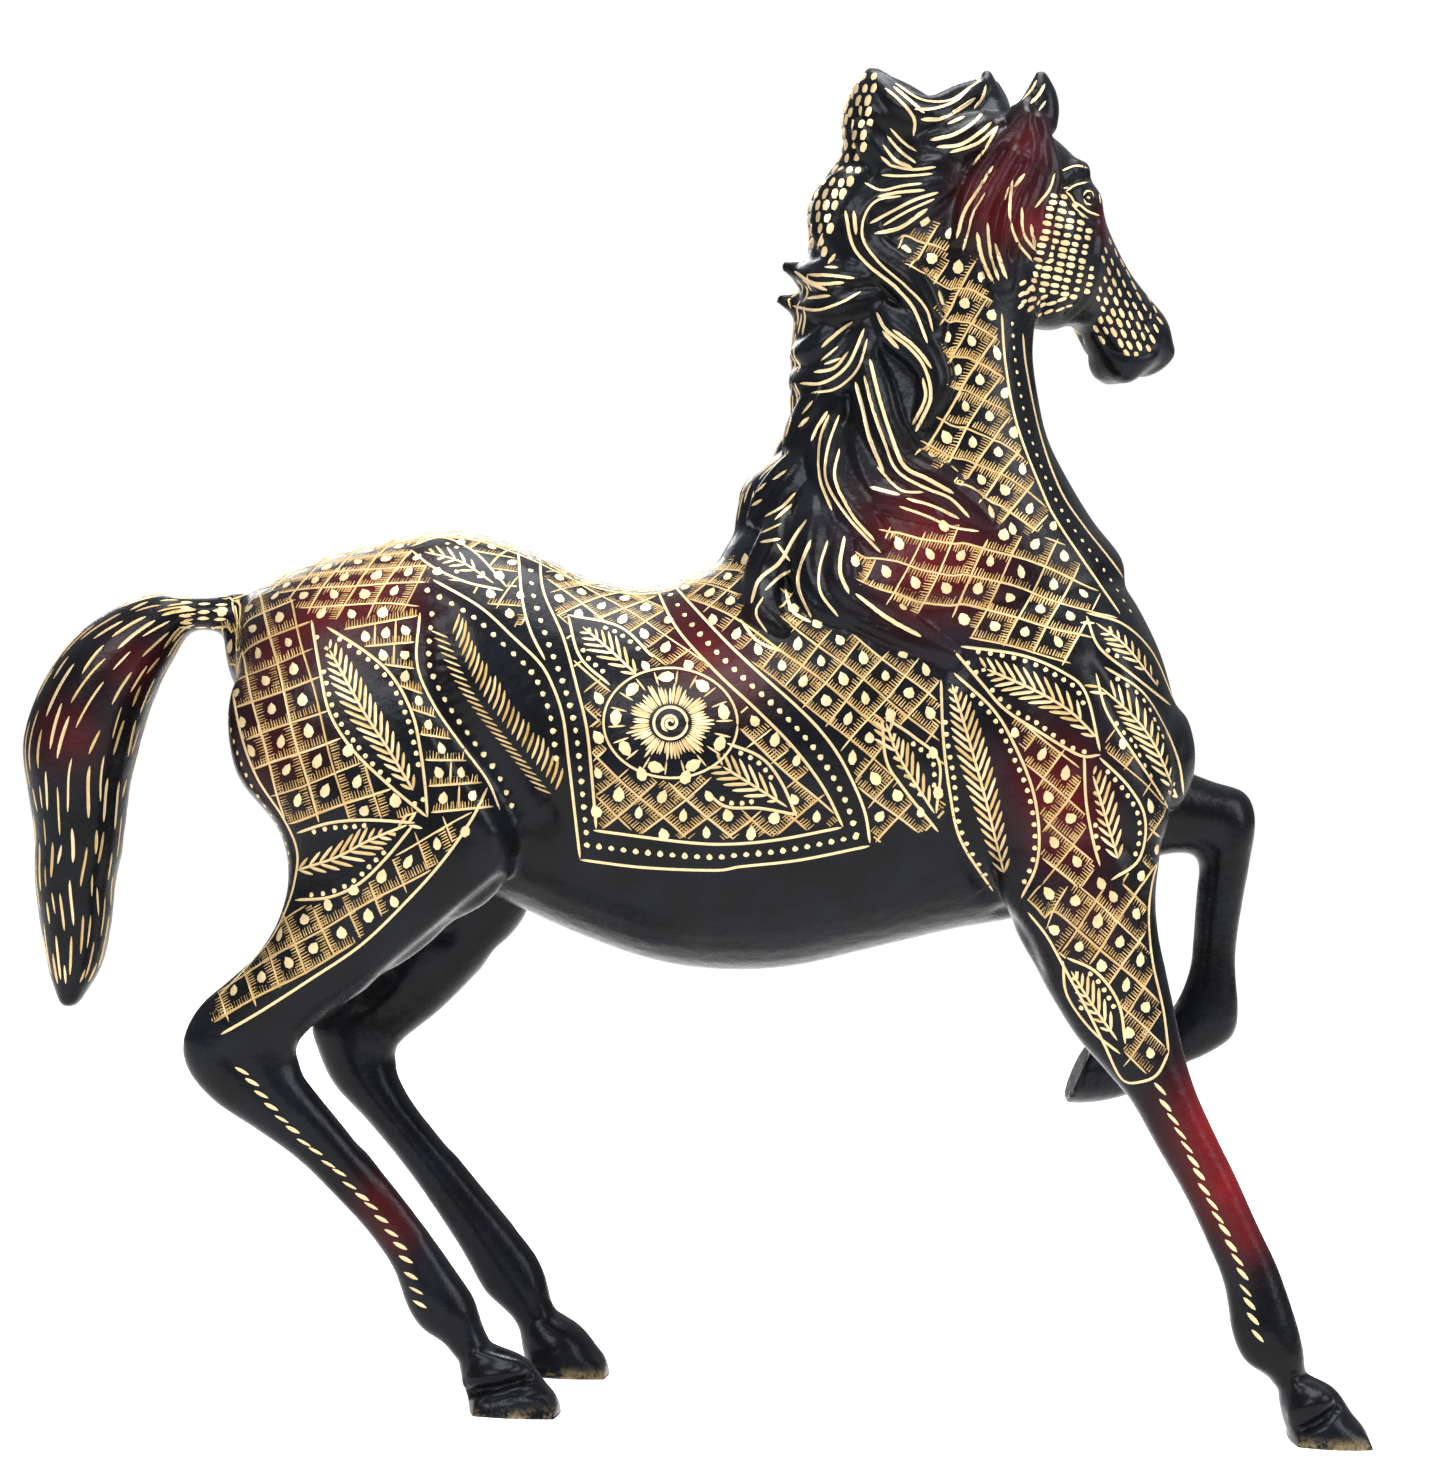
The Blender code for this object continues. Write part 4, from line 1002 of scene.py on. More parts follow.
# Long cuts in the hair, root to tip.
MANE_CUTS = [
    [(41, 394), (46, 390), (50, 385), (50, 380)],
    [(43.5, 394.5), (48, 391), (53, 387)],
    [(44, 395.5), (52, 391), (60, 391), (66, 395), (70, 398)],
    [(50, 388), (56, 388.5), (62, 391), (67, 396)],
    [(52, 385), (58, 385.5), (64, 389), (68, 392)],
    [(55, 379), (62, 381), (68, 385), (71, 389)],
    [(57, 377), (64, 378), (70, 382), (73, 385)],
    [(61, 375.5), (69, 378.5), (75, 384)],
    [(60, 384), (65, 386.5)],
    [(42, 380), (46, 375.5), (51, 372)],
    [(41, 377), (45, 372.5), (50, 370.5)],
    [(40.5, 373.5), (44, 370.5)],
    [(43, 382), (47, 378), (51, 375.5)],
    [(36, 365.5), (41, 363.5), (47, 365), (53, 366)],
    [(41, 368), (48, 368), (56, 369)],
    [(43, 371), (50, 370), (57, 371)],
    [(40, 361.5), (46, 363), (54, 364)],
    [(30.5, 357), (33, 347), (38, 341), (46, 335), (52, 328.5), (56.5, 318.5)],
    [(47, 362), (40, 360.5), (36.5, 356), (36, 349), (41, 342), (49, 335.5), (55.5, 329), (58, 322)],
    [(33, 357), (34, 350)],
    [(38, 353.5), (44, 357), (51, 361), (58, 363.5)],
    [(39.5, 350.5), (47, 352.5), (55, 358.5)],
    [(42, 353), (49, 357.5), (57, 361.5)],
    [(16, 338.3), (22, 335), (31, 335.5)],
    [(20, 337.5), (27, 337.5), (34, 337)],
    [(18.5, 335.8), (26, 333)],
    [(16, 328), (23, 327), (30, 329.5), (36, 333)],
    [(25, 340), (29, 340)],
    [(20, 330.5), (27, 331.5)],
    [(25, 316), (29, 320), (34, 324)],
    [(25, 312), (30, 316.5)],
    [(26, 311), (31, 313)],
    [(19, 305), (26, 305.5), (33, 311), (37.5, 322)],
    [(22.5, 302.3), (30, 304), (36, 310), (38.5, 319)],
    [(23, 308.5), (29, 310), (33, 315)],
    [(41, 327), (44, 322), (51, 317), (56, 311), (58, 302), (54, 292)],
    [(43, 321.5), (48, 316.5)],
    [(55.5, 308), (56.5, 302), (53, 294)],
    [(46, 322), (53, 317), (58, 311)],
    [(35.5, 306), (38, 298), (40.5, 289), (45, 279.5)],
    [(38, 308), (41, 298), (45, 288), (49, 280), (57, 275.5), (65, 272.5), (71, 267)],
    [(39.5, 313), (43, 301), (47, 290), (51, 281.5), (58, 278), (66, 274)],
    [(43, 281), (50, 274.5), (57, 274)],
    [(41, 275), (50, 273)],
    [(50, 269.5), (58, 267), (66, 264), (74, 263)],
    [(52, 272), (60, 270), (68, 266.5)],
    [(28, 296), (25.5, 288), (26, 277), (30, 267.5)],
    [(31, 296), (28, 286), (28, 276), (35, 265.5), (45, 255.5)],
    [(31.5, 286), (30.5, 277), (36, 266.5), (43, 259)],
    [(24, 291), (27.5, 297)],
    [(23, 288), (25, 293)],
    [(10, 265), (15, 268), (19, 272.5)],
    [(13, 264), (18, 269)],
    [(9, 260), (15, 263)],
    [(9, 257.3), (15, 258.5)],
    [(10.5, 241), (8.5, 236), (12, 230.5)],
    [(7, 239), (9, 246), (15, 251.5), (19, 259), (22.5, 264.5)],
    [(24, 258.5), (21, 250), (21, 243.5), (25, 235.5)],
    [(29, 258.5), (27, 250), (27.5, 243), (33, 236)],
    [(11, 243), (15, 247), (19, 249.5)],
    [(17, 243.5), (19.5, 237), (25, 234)],
    [(34, 260), (33, 250), (36, 243)],
    [(14, 257), (18, 252)],
    [(38, 243), (48, 236), (58, 231)],
    [(4, 234), (9, 228), (16, 225)],
    [(64, 350), (66, 358), (70, 365), (74, 372)],
    [(66, 346.5), (68.5, 357), (72, 364)],
    [(70, 352), (72, 344), (75.5, 337)],
    [(73, 355), (74.5, 345), (77, 338)],
    [(75.5, 349), (77.5, 343), (79.5, 338.5)],
    [(80, 368), (79.5, 358), (82, 350), (87, 344)],
    [(80.5, 366), (83.5, 370)],
    [(86, 355), (87.5, 348)],
    [(87, 360), (91, 365.5), (92.5, 370.5)],
    [(78, 362), (79, 366)],
    [(68, 372), (72, 378), (75, 384)],
    [(83, 360), (84, 352), (88, 347)],
    [(67, 388), (70, 392), (71, 396)],
    [(82, 392), (84.5, 395), (86, 398)],
    [(84.5, 391), (87, 394), (88.5, 397)],
    [(87, 389), (89, 392)],
    [(24, 350), (22.5, 345)],
    [(28, 344), (26, 341)],
    [(20, 296), (23, 300)],
    [(19, 292), (22, 295)],
    [(7, 272), (10, 275)],
    [(6, 268), (9, 270)],
    [(12, 276), (16, 279)],
]
# Rows of dashes down the legs: (path, slant in degrees, length of a dash, distance between dashes).
LEG_DASHES = [
    ([(-139.4, 94.1), (-126, 79.1), (-112.1, 66.8), (-98.2, 53.9), (-90, 43), (-85.4, 32), (-83.7, 26)],
     -26, 4.6, 4.6),
    ([(134.4, 98.6), (142.4, 82.5), (148.9, 69.3), (156, 56.2), (160.9, 44.4), (166.1, 26.7)], -44, 5.0,
     4.7),
    ([(-151, 235), (-151.5, 226)], 4, 3.5, 2.2),
    ([(-156, 235), (-156.5, 225.5)], 4, 3.5, 2.2),
    ([(-161, 235), (-161.5, 225)], 0, 3.5, 2.2),
]
EYE_CUTS = [
    [(96, 365.2), (97.8, 363.6), (98.6, 362.2), (100.6, 361.2), (102.8, 359.6), (106.3, 358.4)],
    [(96, 365.2), (98.5, 367.1), (101.6, 368.1), (105, 368.6)], [(97.6, 361.6), (100, 359.4), (103, 357.4)],
    [(95.2, 366.2), (96.8, 366.4)], [(101.2, 364.2), (102.2, 365.6), (103.8, 365.4), (104.4, 363.8)],
    [(101.4, 363.2), (102.2, 361.9), (103.8, 361.6)], [(102.4, 363.9), (103.2, 363.5)],
    [(94, 371), (98.5, 373), (103, 372.4)], [(105.6, 367), (106.5, 362)],
]
CROUP_CUTS = [
    [(-147, 239), (-136, 246), (-122, 253)], [(-147.5, 236.5), (-134, 242.5), (-120, 248.5)],
    [(-148, 234), (-134, 239.5)], [(-146, 241.5), (-134, 249)], [(-110, 258), (-96, 260), (-82, 259.5)],
]
# Ruled borders.
BORDERS = (THIGH_FRONT, GROOVE_EDGE, BAND_TOP, CLOTH_LEFT, CLOTH_BOTTOM, HEM_BOTTOM, CLOTH_RIGHT, HEM_RIGHT,
           HAUNCH_REAR, GASKIN_FRONT, THROAT_BACK, THROAT_FRONT, FORELEG_REAR, FORELEG_FRONT)
# Rows of beads midway between two borders: (one, the other, size).
BEADED_BANDS = ((CLOTH_BOTTOM, HEM_BOTTOM, 1.9), (CLOTH_RIGHT, HEM_RIGHT, 1.9),
                (THROAT_BACK, THROAT_FRONT, 1.3))
# Rows of beads beside a line: (line, spacing, size, tone, how far to its side).
BEADS = (
    ([(-59.5, 250), (-58, 239), (-53.5, 226), (-48.5, 214), (-44.3, 201), (-42, 187), (-40, 172),
      (-39, 165)], 3.8, 1.8, 0.8, 0),
    (THIGH_FRONT, 4.0, 1.8, 0.8, 3.6),
    (GROOVE_EDGE[:7], 4.2, 1.8, 0.8, -3.6),
    (HAUNCH_REAR[:8], 3.4, 1.5, 0.6, -2.6),
)
# Half width and half height of the ground that the rosette keeps clear of squares.
ROSETTE_ROOM = (20.5, 17)
# Squares either way from a field's first one, and the depth of the flank that they are drawn on.
FIELD_REACH = 24
FLANK_Y = 38
TAIL_LANES = 26


def apparent(points):
    """Where the eye on the right sees 3D points, as (x, z)."""
    k = EYE_DISTANCE / (EYE_DISTANCE + points[:, 1])
    return np.column_stack([points[:, 0] * k, EYE_HEIGHT + (points[:, 2] - EYE_HEIGHT) * k])


def inside(outline, points):
    """Which (x, z) points lie inside a closed outline."""
    x, z = points[:, 0], points[:, 1]
    result = np.zeros(len(points), bool)
    for (x1, z1), (x2, z2) in zip(outline, outline[1:] + outline[:1]):
        crosses = (z1 > z) != (z2 > z)
        with np.errstate(divide="ignore", invalid="ignore"):
            result ^= crosses & (x < (x2 - x1) * (z - z1) / (z2 - z1 + 1e-12) + x1)
    return result


class Chart:
    """The right side unrolled: u is X, v a height measured over the skin from a line across it."""

    FIRST_U, LAST_U = -152, 152
    FIRST_V, LAST_V, STEP_V = 40, 420, 0.5
    HIGHEST, LOWEST, STEP_Z = 400, 100, 0.5
    FARTHEST_Y = 6

    def __init__(self, tree, line):
        z = np.arange(self.HIGHEST, self.LOWEST, -self.STEP_Z)
        v = np.arange(self.FIRST_V, self.LAST_V, self.STEP_V)
        self.y, self.z = [], []
        for x in range(self.FIRST_U, self.LAST_U + 1):
            hits = [tree.ray_cast(Vector((x, -200, h)), Vector((0, 1, 0)))[0] for h in z]
            y = np.array([hit.y if hit and hit.y < self.FARTHEST_Y else np.nan for hit in hits])
            length = np.concatenate([[0], np.cumsum(np.hypot(self.STEP_Z, np.nan_to_num(np.diff(y))))])
            start = np.interp(x, *zip(*line))
            height = np.interp(-start, -z, length) - length + start
            self.y.append(np.interp(-v, -height, y))
            self.z.append(np.interp(-v, -height, z))
        self.y, self.z = np.array(self.y), np.array(self.z)

    def points(self, uv):
        """3D points on the skin for (u, v) pairs, in an array of any shape; NaN off the skin."""
        uv = np.asarray(uv, float)
        a, b = uv[..., 0] - self.FIRST_U, (uv[..., 1] - self.FIRST_V) / self.STEP_V
        i = np.clip(np.floor(a).astype(int), 0, self.y.shape[0] - 2)
        j = np.clip(np.floor(b).astype(int), 0, self.y.shape[1] - 2)
        f, g = np.clip(a - i, 0, 1), np.clip(b - j, 0, 1)

        def blend(grid):
            low = grid[i, j] * (1 - f) + grid[i + 1, j] * f
            high = grid[i, j + 1] * (1 - f) + grid[i + 1, j + 1] * f
            return low * (1 - g) + high * g

        return np.stack([uv[..., 0], blend(self.y), blend(self.z)], -1)

# Sections across a stroke, as (across, height), and outlines of chips, as (along, across).
GROOVE = ((-1.0, -0.10), (-0.72, 0.11), (0.0, 0.05), (0.72, 0.11), (1.0, -0.10))
HATCH = ((-1.0, -0.06), (0.0, 0.10), (1.0, -0.06))
DROP = ((-0.75, -0.4), (-0.75, 0.4), (-0.3, 0.95), (0.35, 0.85), (1.0, 0.1), (0.45, -0.75), (-0.2, -1.0))
SCALE = ((-1.0, -0.55), (-1.0, 0.55), (-0.2, 0.95), (0.6, 0.85), (1.0, 0.2), (1.0, -0.3), (0.6, -0.85),
         (-0.2, -0.95))
CHIP_RIM, CHIP_ROOT, CHIP_HEART = 0.06, -0.10, 0.17
# A mark is dropped where the skin is further than this from it.  On the raised foreleg, chips are smaller.
FARTHEST_SNAP = 5
FORELEG_SHRINK = 0.6
HATCH_HALF, HATCH_TONE = 0.33, 0.1
# Distance between the points of a ruled line, and how far it wavers.
RULE_STEP, RULE_WAVE = 1.3, 0.27
FRINGE_STEP, FRINGE_REACH = 0.84, 2.15
LADDER_SQUARE = 7.2
LEAF_DOT_STEP, LEAF_DOT_INSET, RIB_CLEARANCE = 3.6, 1.9, 5.0
BARB_STEP, BARB_REACH, BARB_ANGLE, BARB_CLEARANCE = 3.1, 7.2, math.radians(34), 2.3
SHORTEST_BARB = 1.5
RAYS, PETALS = 62, 9


class Engraver:
    """Collects cuts and lays them on both sides of the horse, grouped by casting."""

    def __init__(self, skin_tree, cad_tree, owner):
        self.skin, self.cad, self.owner = skin_tree, cad_tree, owner
        self.groups = {name: ([], [], [], 0) for name in CASTINGS}

    def snap(self, points):
        """The points and normals of the skin nearest to each point, or None if one is far off."""
        on, facing = [], []
        for p in points:
            hit, normal, _, gap = self.skin.find_nearest(Vector(p))
            if hit is None or gap > FARTHEST_SNAP:
                return None
            on.append(hit)
            facing.append(normal)
        return np.array(on), np.array(facing)

    def keep(self, verts, faces, tone):
        centre = to_row([np.mean(verts, axis=0)])[0]
        name = CASTINGS[self.owner[self.cad.find_nearest(Vector(centre))[2]]]
        v, f, t, count = self.groups[name]
        v.append(verts)
        f += [[count + i for i in face] for face in faces]
        t += [tone] * len(verts)
        self.groups[name] = (v, f, t, count + len(verts))

    def ribbon(self, on, facing, half, tone, profile):
        k = len(on)
        along = np.gradient(on, axis=0)
        side = np.cross(facing, along)
        size = np.linalg.norm(side, axis=1)
        if size.min() < 1e-6:
            return
        side /= size[:, None]
        width = np.full(k, half)
        if k > 3:
            width[[0, -1]] *= 0.25
            width[[1, -2]] *= 0.85
        elif profile is HATCH:
            width[-1] *= 0.4
        rails = [on + side * (width * lateral)[:, None] + facing * (height * width / half)[:, None]
                 for lateral, height in profile]
        verts = np.stack(rails, axis=1).reshape(-1, 3)
        m = len(profile)
        faces = [(i * m + j, (i + 1) * m + j, (i + 1) * m + j + 1, i * m + j + 1)
                 for i in range(k - 1) for j in range(m - 1)]
        self.keep(verts, faces, tone)

    def cut(self, points, half, tone, profile=GROOVE, both=True):
        """A stroke through 3D points near the right side's skin, and its twin on the left."""
        points = np.array(points, float)
        if len(points) < 2 or np.isnan(points).any():
            return
        lines = [points]
        if both and not (profile is HATCH and on_foreleg(points)):
            lines.append(to_left(points)[::-1])
        for line in lines:
            found = self.snap(line)
            if found:
                self.ribbon(*found, half, tone, profile)

    def chip(self, centre, towards, length, width, tone, rim=DROP):
        """A scooped chip, like a drop: its centre and a point it aims towards, in 3D."""
        pair = np.array([centre, towards], float)
        if np.isnan(pair).any():
            return
        for twin, (c, t) in enumerate((pair, to_left(pair))):
            found = self.snap([c])
            if not found:
                continue
            size = FORELEG_SHRINK if twin and on_foreleg(pair) and c[2] > 100 else 1.0
            on, facing = found[0][0], found[1][0]
            axis = (t - on) - facing * ((t - on) @ facing)
            axis /= np.linalg.norm(axis) + 1e-9
            cross = np.cross(facing, axis)
            edge = [on + axis * (x * size * length / 2) + cross * (y * size * width / 2) for x, y in rim]
            high, low = [[p + facing * height for p in edge] for height in (CHIP_RIM, CHIP_ROOT)]
            n = len(rim)
            faces = [(i, (i + 1) % n, 2 * n) for i in range(n)]
            faces += [(n + i, n + (i + 1) % n, (i + 1) % n, i) for i in range(n)]
            self.keep(np.array(high + low + [on + facing * CHIP_HEART]), faces, tone)

    def objects(self, brass):
        for name, (verts, faces, tone, count) in self.groups.items():
            if not count:
                continue
            mesh = bpy.data.meshes.new(name + "_engraving")
            mesh.from_pydata(to_row(np.vstack(verts)).tolist(), [], faces)
            mesh.update()
            layer = mesh.attributes.new("tone", "FLOAT", "POINT")
            layer.data.foreach_set("value", tone)
            mesh.materials.append(brass)
            obj = bpy.data.objects.new(name + "_engraving", mesh)
            bpy.context.scene.collection.objects.link(obj)
            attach(obj, "root")


def heading(degrees, length=1.0):
    """A vector of this length at this angle."""
    turn = math.radians(degrees)
    return np.array([math.cos(turn), math.sin(turn)]) * length


def ahead_of(rows):
    """Unit vectors along a curve, one for each of its points."""
    ahead = np.gradient(rows, axis=0)
    return ahead / np.linalg.norm(ahead, axis=1)[:, None]


def sampled(path, count):
    """Points spread evenly along a smooth curve."""
    dense, at = rounded(path, 1.0), np.linspace(0, 1, count)
    return np.column_stack([np.interp(at, np.linspace(0, 1, len(dense)), dense[:, k]) for k in (0, 1)])


def both_seen(engraver, spot, other):
    """The 3D points that the eye sees at two (x, z) places, or None if either is off the horse."""
    found = [seen(engraver.skin, *place) for place in (spot, other)]
    return (found[0][0], found[1][0]) if all(found) else None


def clearance(curve, point):
    """The distance from a point to the nearest point of a curve."""
    return np.sqrt(((curve - point)**2).sum(1)).min()


def runs(keep):
    """The unbroken stretches of True, as (first, last + 1)."""
    edges = np.flatnonzero(np.diff(np.concatenate([[0], keep.astype(int), [0]])))
    return list(zip(edges[::2], edges[1::2]))

LOCK_DISCS = np.vstack([smooth_rows(lock, 4) for lock in SIDE_LOCKS])


def on_lock(points):
    """Which (x, z) points lie on a lock of the mane."""
    gap = ((points[:, None, :] - LOCK_DISCS[None, :, :2])**2).sum(-1)
    return (gap < LOCK_DISCS[:, 2]**2).any(1)


def covered(points):
    """Which (x, z) points are taken by the rosette, a leaf or a lock."""
    dx, dz = points[:, 0] - ROSETTE[0], points[:, 1] - ROSETTE[1]
    result = (dx / ROSETTE_ROOM[0])**2 + (dz / ROSETTE_ROOM[1])**2 < 1
    for first, second, _ in LEAVES:
        result |= inside(list(first) + list(second)[::-1], points)
    return result | on_lock(points)


def jitter(amount):
    return rng.uniform(-amount, amount)


def free_of(outline):
    """A test for 3D points: which of them are seen inside the outline and on nothing else."""
    def free(points):
        flat = apparent(np.nan_to_num(points.reshape(-1, 3), nan=-999.0))
        keep = inside(list(outline), flat)
        keep[keep] = ~covered(flat[keep])
        return keep.reshape(points.shape[:-1])
    return free


def field(engraver, chart, outline, corner, edge_a, edge_b):
    """A field of squares: ruled lines, a chip in each square, and a fringe of hatching under it."""
    free = free_of(outline)
    sides = [heading(*edge) for edge in (edge_a, edge_b)]
    scale = EYE_DISTANCE / (EYE_DISTANCE - FLANK_Y)
    origin = np.array([corner[0] * scale, (corner[1] - EYE_HEIGHT) * scale + EYE_HEIGHT])
    for first, second in ((sides[0], sides[1]), (sides[1], sides[0])):
        unit = first / np.linalg.norm(first)
        t = np.arange(0, 2 * FIELD_REACH, RULE_STEP / np.linalg.norm(first))
        for j in range(-FIELD_REACH, FIELD_REACH + 1):
            start = origin + second * (j + jitter(0.05)) - first * FIELD_REACH
            wave = np.sin(t * 1.6 + jitter(3))[:, None] * RULE_WAVE * np.array([-unit[1], unit[0]])
            line = chart.points(start + first * t[:, None] + wave)
            for a, b in runs(free(line)):
                if b - a >= 3:
                    engraver.cut(line[a:b], 0.36 + jitter(0.08), 0.35 + jitter(0.2))
    squares = [(i, j) for i in range(-FIELD_REACH, FIELD_REACH) for j in range(-FIELD_REACH, FIELD_REACH)]
    hearts = np.array([origin + sides[0] * (i + 0.5) + sides[1] * (j + 0.5) for i, j in squares])
    hatching = []
    for heart in hearts[free(chart.points(hearts))]:
        spot = heart + (jitter(0.5), 0.7 + jitter(0.5))
        centre, towards = chart.points([spot, spot + (jitter(4.0), 6.0)])
        engraver.chip(centre, towards, 4.3 + jitter(0.8), 2.9 + jitter(0.6), 0.85 + jitter(0.3))
        corners = [heart + sides[0] * a + sides[1] * b
                   for a, b in ((-0.5, -0.5), (0.5, -0.5), (0.5, 0.5), (-0.5, 0.5))]
        hatching += fringe(corners, heart)
    ends = chart.points(hatching)
    for line, keep in zip(ends, free(ends).all(1)):
        if keep:
            engraver.cut(line, HATCH_HALF, HATCH_TONE + jitter(0.25), HATCH)


def fringe(square, heart):
    """(foot, tip) of short cuts that stand on the lower edges of a square, and on one side now and then."""
    made = []
    for a, b in zip(square, square[1:] + square[:1]):
        middle = (a + b) / 2
        out = (middle - heart) / np.linalg.norm(middle - heart)
        if out[1] > -0.2 and not (out[0] > 0 and rng.random() < 0.5):
            continue
        span = np.linalg.norm(b - a)
        for s in np.arange(0.5, span - 0.4, FRINGE_STEP):
            foot = a + (b - a) * ((s + jitter(0.12)) / span) - out * 0.25
            made.append((foot, foot - out * (FRINGE_REACH + jitter(0.45))))
    return made


def drawn(engraver, path, half, tone, step=1.2, smooth=True):
    """A stroke drawn along (x, z) points as the eye sees them, broken where the skin is out of sight."""
    dense = rounded(path, step) if smooth and len(path) > 2 else densified(path, step)
    line = []
    for found in [seen(engraver.skin, x, z) for x, z in dense] + [None]:
        if line and (not found or np.linalg.norm(np.array(found[0]) - line[-1]) > LONGEST_STEP * step):
            if len(line) > 1:
                engraver.cut(line, half, tone)
            line = []
        if found:
            line.append(np.array(found[0]))


def dots_along(engraver, path, step, size, tone, shift=0.0):
    """A row of small triangles along a path, moved sideways by shift."""
    rows = rounded(path, step)
    ahead = ahead_of(rows)
    for p, side in zip(rows, np.column_stack([-ahead[:, 1], ahead[:, 0]])):
        spot = p + side * shift
        pair = both_seen(engraver, spot, spot + side * 1.5)
        if pair:
            engraver.chip(*pair, size * (1 + jitter(0.2)), size * 0.95, tone + jitter(0.2))


def leaf(engraver, first, second, rib):
    """A leaf: its outline, a row of triangles inside it, and barbs along the rib."""
    for outline in (first, second):
        drawn(engraver, outline, 0.5, 0.6, 1.3)
    middle, spine_points = np.array(rib).mean(0), rounded(rib, 1.0)
    for outline in (first, second):
        for p in rounded(outline, LEAF_DOT_STEP)[1:-1]:
            inward = middle - p
            inward_unit = inward / np.linalg.norm(inward)
            if clearance(spine_points, p) < RIB_CLEARANCE:
                continue
            spot = p + inward_unit * LEAF_DOT_INSET
            pair = both_seen(engraver, spot, spot - inward_unit * 2)
            if pair:
                engraver.chip(*pair, 1.7, 1.5, 0.8 + jitter(0.2))
    drawn(engraver, rib, 0.45, 0.6, 1.3)
    rows = rounded(rib, BARB_STEP)
    outline = np.vstack([rounded(first, 1.0), rounded(second, 1.0)])
    for i, (p, d) in enumerate(zip(rows, ahead_of(rows))):
        share = i / max(1, len(rows) - 1)
        for sign in (-1, 1):
            turn = sign * BARB_ANGLE
            back = np.array([-d[0] * math.cos(turn) + d[1] * math.sin(turn),
                             -d[0] * math.sin(turn) - d[1] * math.cos(turn)])
            reach = BARB_REACH * (0.65 + 0.5 * math.sin(math.pi * share))
            while reach > SHORTEST_BARB and clearance(outline, p + back * reach) < BARB_CLEARANCE:
                reach -= 0.5
            if reach > SHORTEST_BARB:
                barb = [p + back * 0.5, p + back * reach]
                drawn(engraver, barb, 0.56, 0.5 + jitter(0.35))


def ladder(engraver, first, second, squares):
    """Squares in a row between two curves: rungs, their fringes and a chip in each square."""
    count = squares * 2 + 1
    for k, (a, b) in enumerate(zip(sampled(first, count), sampled(second, count))):
        span = np.linalg.norm(b - a)
        if k % 2:
            parts = max(1, round(span / LADDER_SQUARE))
            for n in range(parts):
                spot = a + (b - a) * ((n + 0.5) / parts) + (jitter(0.4), jitter(0.4))
                pair = both_seen(engraver, spot, spot + (jitter(1.5), 3))
                if pair:
                    engraver.chip(*pair, 4.0, 2.7, 0.85 + jitter(0.2))
            for n in range(1, parts):
                spot = a + (b - a) * n / parts
                drawn(engraver, [spot - (0, 3.4), spot + (0, 3.4)], 0.38, 0.4)
            continue
        drawn(engraver, [a, b], 0.4, 0.4 + jitter(0.2))
        for s in np.arange(0.6, span - 0.5, 0.88):
            foot = a + (b - a) * s / span + (0, 0.2)
            pair = both_seen(engraver, foot, foot + (jitter(0.3), 2.2 + jitter(0.4)))
            if pair:
                engraver.cut(pair, HATCH_HALF, HATCH_TONE + jitter(0.25), HATCH)


def spine(engraver):
    """A ruled ribbon of chips along the back."""
    def above(x, y):
        hit = engraver.skin.ray_cast(Vector((x, y, 400)), Vector((0, 0, -1)))[0]
        return np.array(hit)

    engraver.cut([above(x, -6.5) for x in np.arange(-138, -4, 1.5)], 0.4, 0.5)
    engraver.cut([above(x, -12) for x in np.arange(-132, -8, 1.5)], 0.4, 0.45)
    for x in np.arange(-136, -6, 3.8):
        engraver.chip(above(x, -9.3), above(x + 2, -9.3), 2.0, 1.8, 0.8 + jitter(0.2))
    for x in np.arange(-134, -8, 7.5):
        engraver.chip(above(x, 0), above(x + 2, 0), 4.6, 3.0, 0.8 + jitter(0.2))


def back_of_mane(engraver):
    """Scales down the nape and hair cuts below them, as the eye behind the horse sees them."""
    def behind(y, z):
        hit = engraver.skin.ray_cast(Vector((-60, y, z)), Vector((1, 0, 0)))[0]
        return np.array(hit) if hit else np.full(3, np.nan)

    for row, z in enumerate(np.arange(346, 398, 3.7)):
        for y in np.arange(-6.4 + 1.35 * (row % 2), 0.1, 2.7):
            engraver.chip(behind(y, z), behind(y, z + 2), 3.1, 2.1, 0.75 + jitter(0.3), SCALE)
    for lane, y in enumerate((-11, -8, -5, -2, 1)):
        z = 336.0 - 3 * (lane % 2)
        while z > 268:
            reach = 7 + jitter(2.5)
            line = [behind(y + 1.2 * math.sin((z - s) / 7 + lane), z - s) for s in np.arange(0, reach, 1.2)]
            gaps = np.linalg.norm(np.diff(line, axis=0), axis=1)
            if gaps.max() < 3:
                engraver.cut(line, 0.5 + jitter(0.1), 0.7 + jitter(0.25))
            z -= reach + 2.5 + jitter(1)


